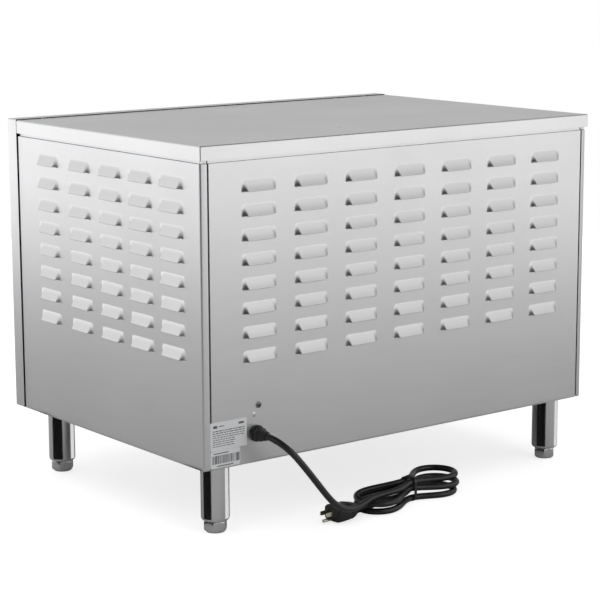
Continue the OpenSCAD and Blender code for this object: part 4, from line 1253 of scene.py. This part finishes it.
def make_screws():
    """Cross-head screws of the control plate and base, and the earth screw with its cupped washer."""
    low, high = span("body_screws")
    x, z0, z1 = high[0] - 4, span("control_panel")[0][2] + 12, BAY_TOP - 12
    heads = [screw_head((s * x, FRONT_Y, z), "-y", 4.0, 17 * k) for k, (s, z) in
             enumerate(((-1, z0), (-1, z1), (1, z0), (1, z1)))]
    heads += [screw_head((x, y, BASE_Z), "-z", 3.5, 25 * k) for k, (x, y) in
              enumerate((x, y) for x in (-300, -100, 100, 300) for y in (FRONT_Y + 34, REAR_Y - 10))]
    piece("cross_head_screws", "cabinet", joined(*heads), finish["screw"], ["body_screws"])
    at = (277, REAR_Y, 185)
    washer = lathe([(2, 0), (4.6, 0), (4.9, 0.5), (3.2, 1.0), (2, 1.0)], at, "y", 36, hollow=True)
    piece("earth_screw", "cabinet", joined(washer, screw_head((277, REAR_Y + 0.4, 185), "y", 3.3, 32)),
          finish["dark_screw"])
    dimple = lathe([(3.6, -0.3), (3.6, 0.1), (3.0, 0.45), (1.6, 0.6), (0.01, 0.62)], (285, REAR_Y, 172), "y",
                   36)
    piece("blind_rivet", "cabinet", dimple, finish["panel"])


def bars(rects, y):
    """Thin raised rectangles (x0, x1, z0, z1) on a face at y."""
    return joined(*[slab([(a, c), (b, c), (b, d), (a, d)], y, y + 0.08, 0.0, "xz") for a, b, c, d in rects])


def make_labels():
    """A rating label and a stripe label under it, with plain grey bars where print would be."""
    rng = np.random.default_rng(11)
    y = REAR_Y
    big, small = (298, 361, 129.5, 170), (310, 361, 104, 129)
    sheets = [slab(ring(r, 1.5), y - 0.02, y + 0.14, 0.02, "xz") for r in (big, small)]
    piece("label_films", "cabinet", joined(*sheets), finish["label"])
    marks = [(349, 356, 161.4, 165.2), (337, 346, 163, 164.2), (303, 312, 162.5, 165.5)]
    for line, z in enumerate(np.arange(156.5, 132, -3.1)):
        x = 357.0
        while x > (322 if line > 3 else 304):
            w = rng.uniform(2.5, 8)
            marks.append((max(x - w, 302), x, z, z + (1.3 if line < 2 else 1.0)))
            x -= w + 1.2
    x = 358.0
    while x > 313:
        w = rng.choice([0.6, 0.6, 1.2, 1.8])
        marks.append((x - w, x, 110, 122))
        x -= w + rng.choice([0.7, 0.7, 1.4])
    marks += [(330, 356, 124.3, 125.6), (322, 350, 106, 107.4)]
    piece("label_bars", "cabinet", bars(marks, y + 0.1), finish["ink"])


BASE_LOW, BASE_HIGH = span("base_pan")
BASE_Z = BASE_LOW[2]
for place in ("front_left", "front_right", "rear_left", "rear_right"):
    make_leg(place)
pan = (BASE_LOW[0], BASE_HIGH[0], BASE_LOW[1], BASE_HIGH[1])
piece("folded_base", "cabinet", tray(pan, BASE_Z, BASE_HIGH[2], back=True), finish["base"],
      ["base_pan"],
      closed=False, thick=SHEET)
make_screws()
make_labels()

KEPT = [("liner_" + wall, "liner", 0.25) for wall in ("top", "left", "right", "back", "floor")]
for node, kind, edge in KEPT + [("thermostat", "ivory", 0.8), ("terminal_block", "ivory", 0.8)]:
    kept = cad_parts[node]
    kept.data.materials.clear()
    kept.data.materials.append(finish[kind])
    kept.modifiers.new("weld", "WELD").merge_threshold = 0.00001
    ease = kept.modifiers.new("ease", "BEVEL")
    ease.width, ease.segments, ease.limit_method = edge * MM, 2, "ANGLE"


# ---------- studio ----------

FLOOR_R = 2.5            # metres


def make_studio():
    """Pale floor, an overhead light, a room with a soft box on either side that is dark on the viewer's
    side, and a bowed black and white card beside each of three legs, for the legs' reflections."""
    floor = bpy.data.objects.new("floor", bpy.data.meshes.new("floor"))
    rim = [(FLOOR_R * math.cos(a), FLOOR_R * math.sin(a), 0) for a in np.arange(96) / 96 * TAU]
    floor.data.from_pydata(rim, [], [list(range(96))])
    bpy.context.scene.collection.objects.link(floor)
    pale = Finish("studio_floor", (0.5, 0.5, 0.5), 0.8)
    pale.set(Emission_Color=(1, 1, 1, 1), Emission_Strength=0.74)
    grey = pale.node("ShaderNodeBsdfDiffuse")
    grey.inputs["Color"].default_value = (0.56, 0.56, 0.56, 1)
    rays, pick = pale.node("ShaderNodeLightPath"), pale.node("ShaderNodeMixShader")
    pale.link(rays.outputs["Is Camera Ray"], pick.inputs["Fac"])
    pale.link(grey.outputs["BSDF"], pick.inputs[1])
    pale.link(pale.shader.outputs["BSDF"], pick.inputs[2])
    pale.link(pick.outputs["Shader"], pale.tree.nodes["Material Output"].inputs["Surface"])
    floor.data.materials.append(pale.material)

    world = bpy.data.worlds.new("room")
    bpy.context.scene.world = world
    world.use_nodes = True
    tree = world.node_tree
    tree.nodes.clear()

    def node(kind, **settings):
        made = tree.nodes.new(kind)
        for name, value in settings.items():
            setattr(made, name, value)
        return made

    def ramp(source, stops):
        made = node("ShaderNodeValToRGB")
        marks = made.color_ramp.elements
        while len(marks) < len(stops):
            marks.new(0.5)
        for mark, (at, tone) in zip(marks, stops):
            mark.position, mark.color = at, (tone, tone, tone, 1)
        tree.links.new(source, made.inputs["Fac"])
        return made.outputs["Color"]

    def maths(operation, a, b):
        made = node("ShaderNodeVectorMath", operation=operation)
        tree.links.new(a, made.inputs[0])
        tree.links.new(b, made.inputs[1])
        return made.outputs["Vector"]

    def facing(direction, start, end):
        """0 to 1 as the direction looked in turns from cosine start to cosine end with the given one."""
        unit = Vector(direction).normalized()
        made = node("ShaderNodeVectorMath", operation="DOT_PRODUCT")
        tree.links.new(way, made.inputs[0])
        made.inputs[1].default_value = unit
        wide = node("ShaderNodeMapRange", interpolation_type="SMOOTHSTEP")
        wide.inputs["From Min"].default_value, wide.inputs["From Max"].default_value = start, end
        tree.links.new(made.outputs["Value"], wide.inputs["Value"])
        return wide.outputs["Result"]

    way = node("ShaderNodeTexCoord").outputs["Generated"]
    split = node("ShaderNodeSeparateXYZ")
    tree.links.new(way, split.inputs["Vector"])
    height = ramp(split.outputs["Z"], [(0.0, 0.72), (0.42, 0.78), (0.62, 0.3), (0.85, 0.04)])
    turn = math.radians(LOOK_TURN)
    away = lambda degrees, rise: (math.sin(turn - math.radians(degrees)),
                                  math.cos(turn - math.radians(degrees)), rise)
    dark = ramp(facing(away(0, 0.0), 0.6, 0.86), [(0.0, 1.0), (1.0, 0.01)])
    left = facing(away(62, 0.16), 0.6, 0.97)
    right = facing(away(-116, 0.1), 0.5, 0.97)
    seen = maths("MULTIPLY", height, dark)
    no_glare = ramp(split.outputs["Z"], [(0.0, 1.0), (0.08, 0.75), (0.2, 0.3), (0.36, 0.35), (0.55, 1.0)])
    for lobe, gain in ((left, 0.95), (right, 1.0)):
        glow = maths("MULTIPLY", ramp(lobe, [(0.0, 0.0), (1.0, gain)]), no_glare)
        seen = maths("ADD", seen, glow)

    plain = node("ShaderNodeBackground")
    plain.inputs["Color"].default_value, plain.inputs["Strength"].default_value = (1, 1, 1, 1), 1.0
    room = node("ShaderNodeBackground")
    room.inputs["Strength"].default_value = 1.0
    tree.links.new(seen, room.inputs["Color"])
    rays, pick, out = node("ShaderNodeLightPath"), node("ShaderNodeMixShader"), node("ShaderNodeOutputWorld")
    tree.links.new(rays.outputs["Is Camera Ray"], pick.inputs["Fac"])
    tree.links.new(room.outputs["Background"], pick.inputs[1])
    tree.links.new(plain.outputs["Background"], pick.inputs[2])
    tree.links.new(pick.outputs["Shader"], out.inputs["Surface"])

    sun = bpy.data.lights.new("soft_overhead", "SUN")
    sun.energy, sun.angle = 1.4, math.radians(75)
    lamp = bpy.data.objects.new("soft_overhead", sun)
    lamp.rotation_euler = Vector((-0.15, -0.1, -1)).to_track_quat("-Z", "Y").to_euler()
    lamp.visible_glossy = False
    bpy.context.scene.collection.objects.link(lamp)

    black = plastic("black_card", (0.01, 0.01, 0.01), 0.9)
    white = Finish("white_card", (0.9, 0.9, 0.9), 0.9)
    white.set(Emission_Color=(1, 1, 1, 1), Emission_Strength=0.75)
    for place, dark_from, dark_to in (("front_right", -68, 12), ("rear_left", -70, 0),
                                      ("rear_right", -88, -22)):
        x, y = middle("leg_" + place)[:2]
        for name, cloth, start, end in (("black", black, dark_from, dark_to),
                                        ("white", white.material, 76, 120)):
            bow = turn - np.radians(np.linspace(start, end, 12))[:, None]
            high = np.array([[0.4, 94.0]])
            points = np.stack(np.broadcast_arrays(x + 58 * np.sin(bow), y + 58 * np.cos(bow), high), -1)
            card = bpy.data.objects.new(name + "_card_" + place, make_mesh(name + "_card", grid(points), 30,
                                                                           closed=False))
            card.data.materials.append(cloth)
            bpy.context.scene.collection.objects.link(card)
            card.visible_camera = card.visible_diffuse = card.visible_shadow = card.visible_transmission = False
    bpy.context.scene.view_settings.view_transform = "Standard"


make_studio()
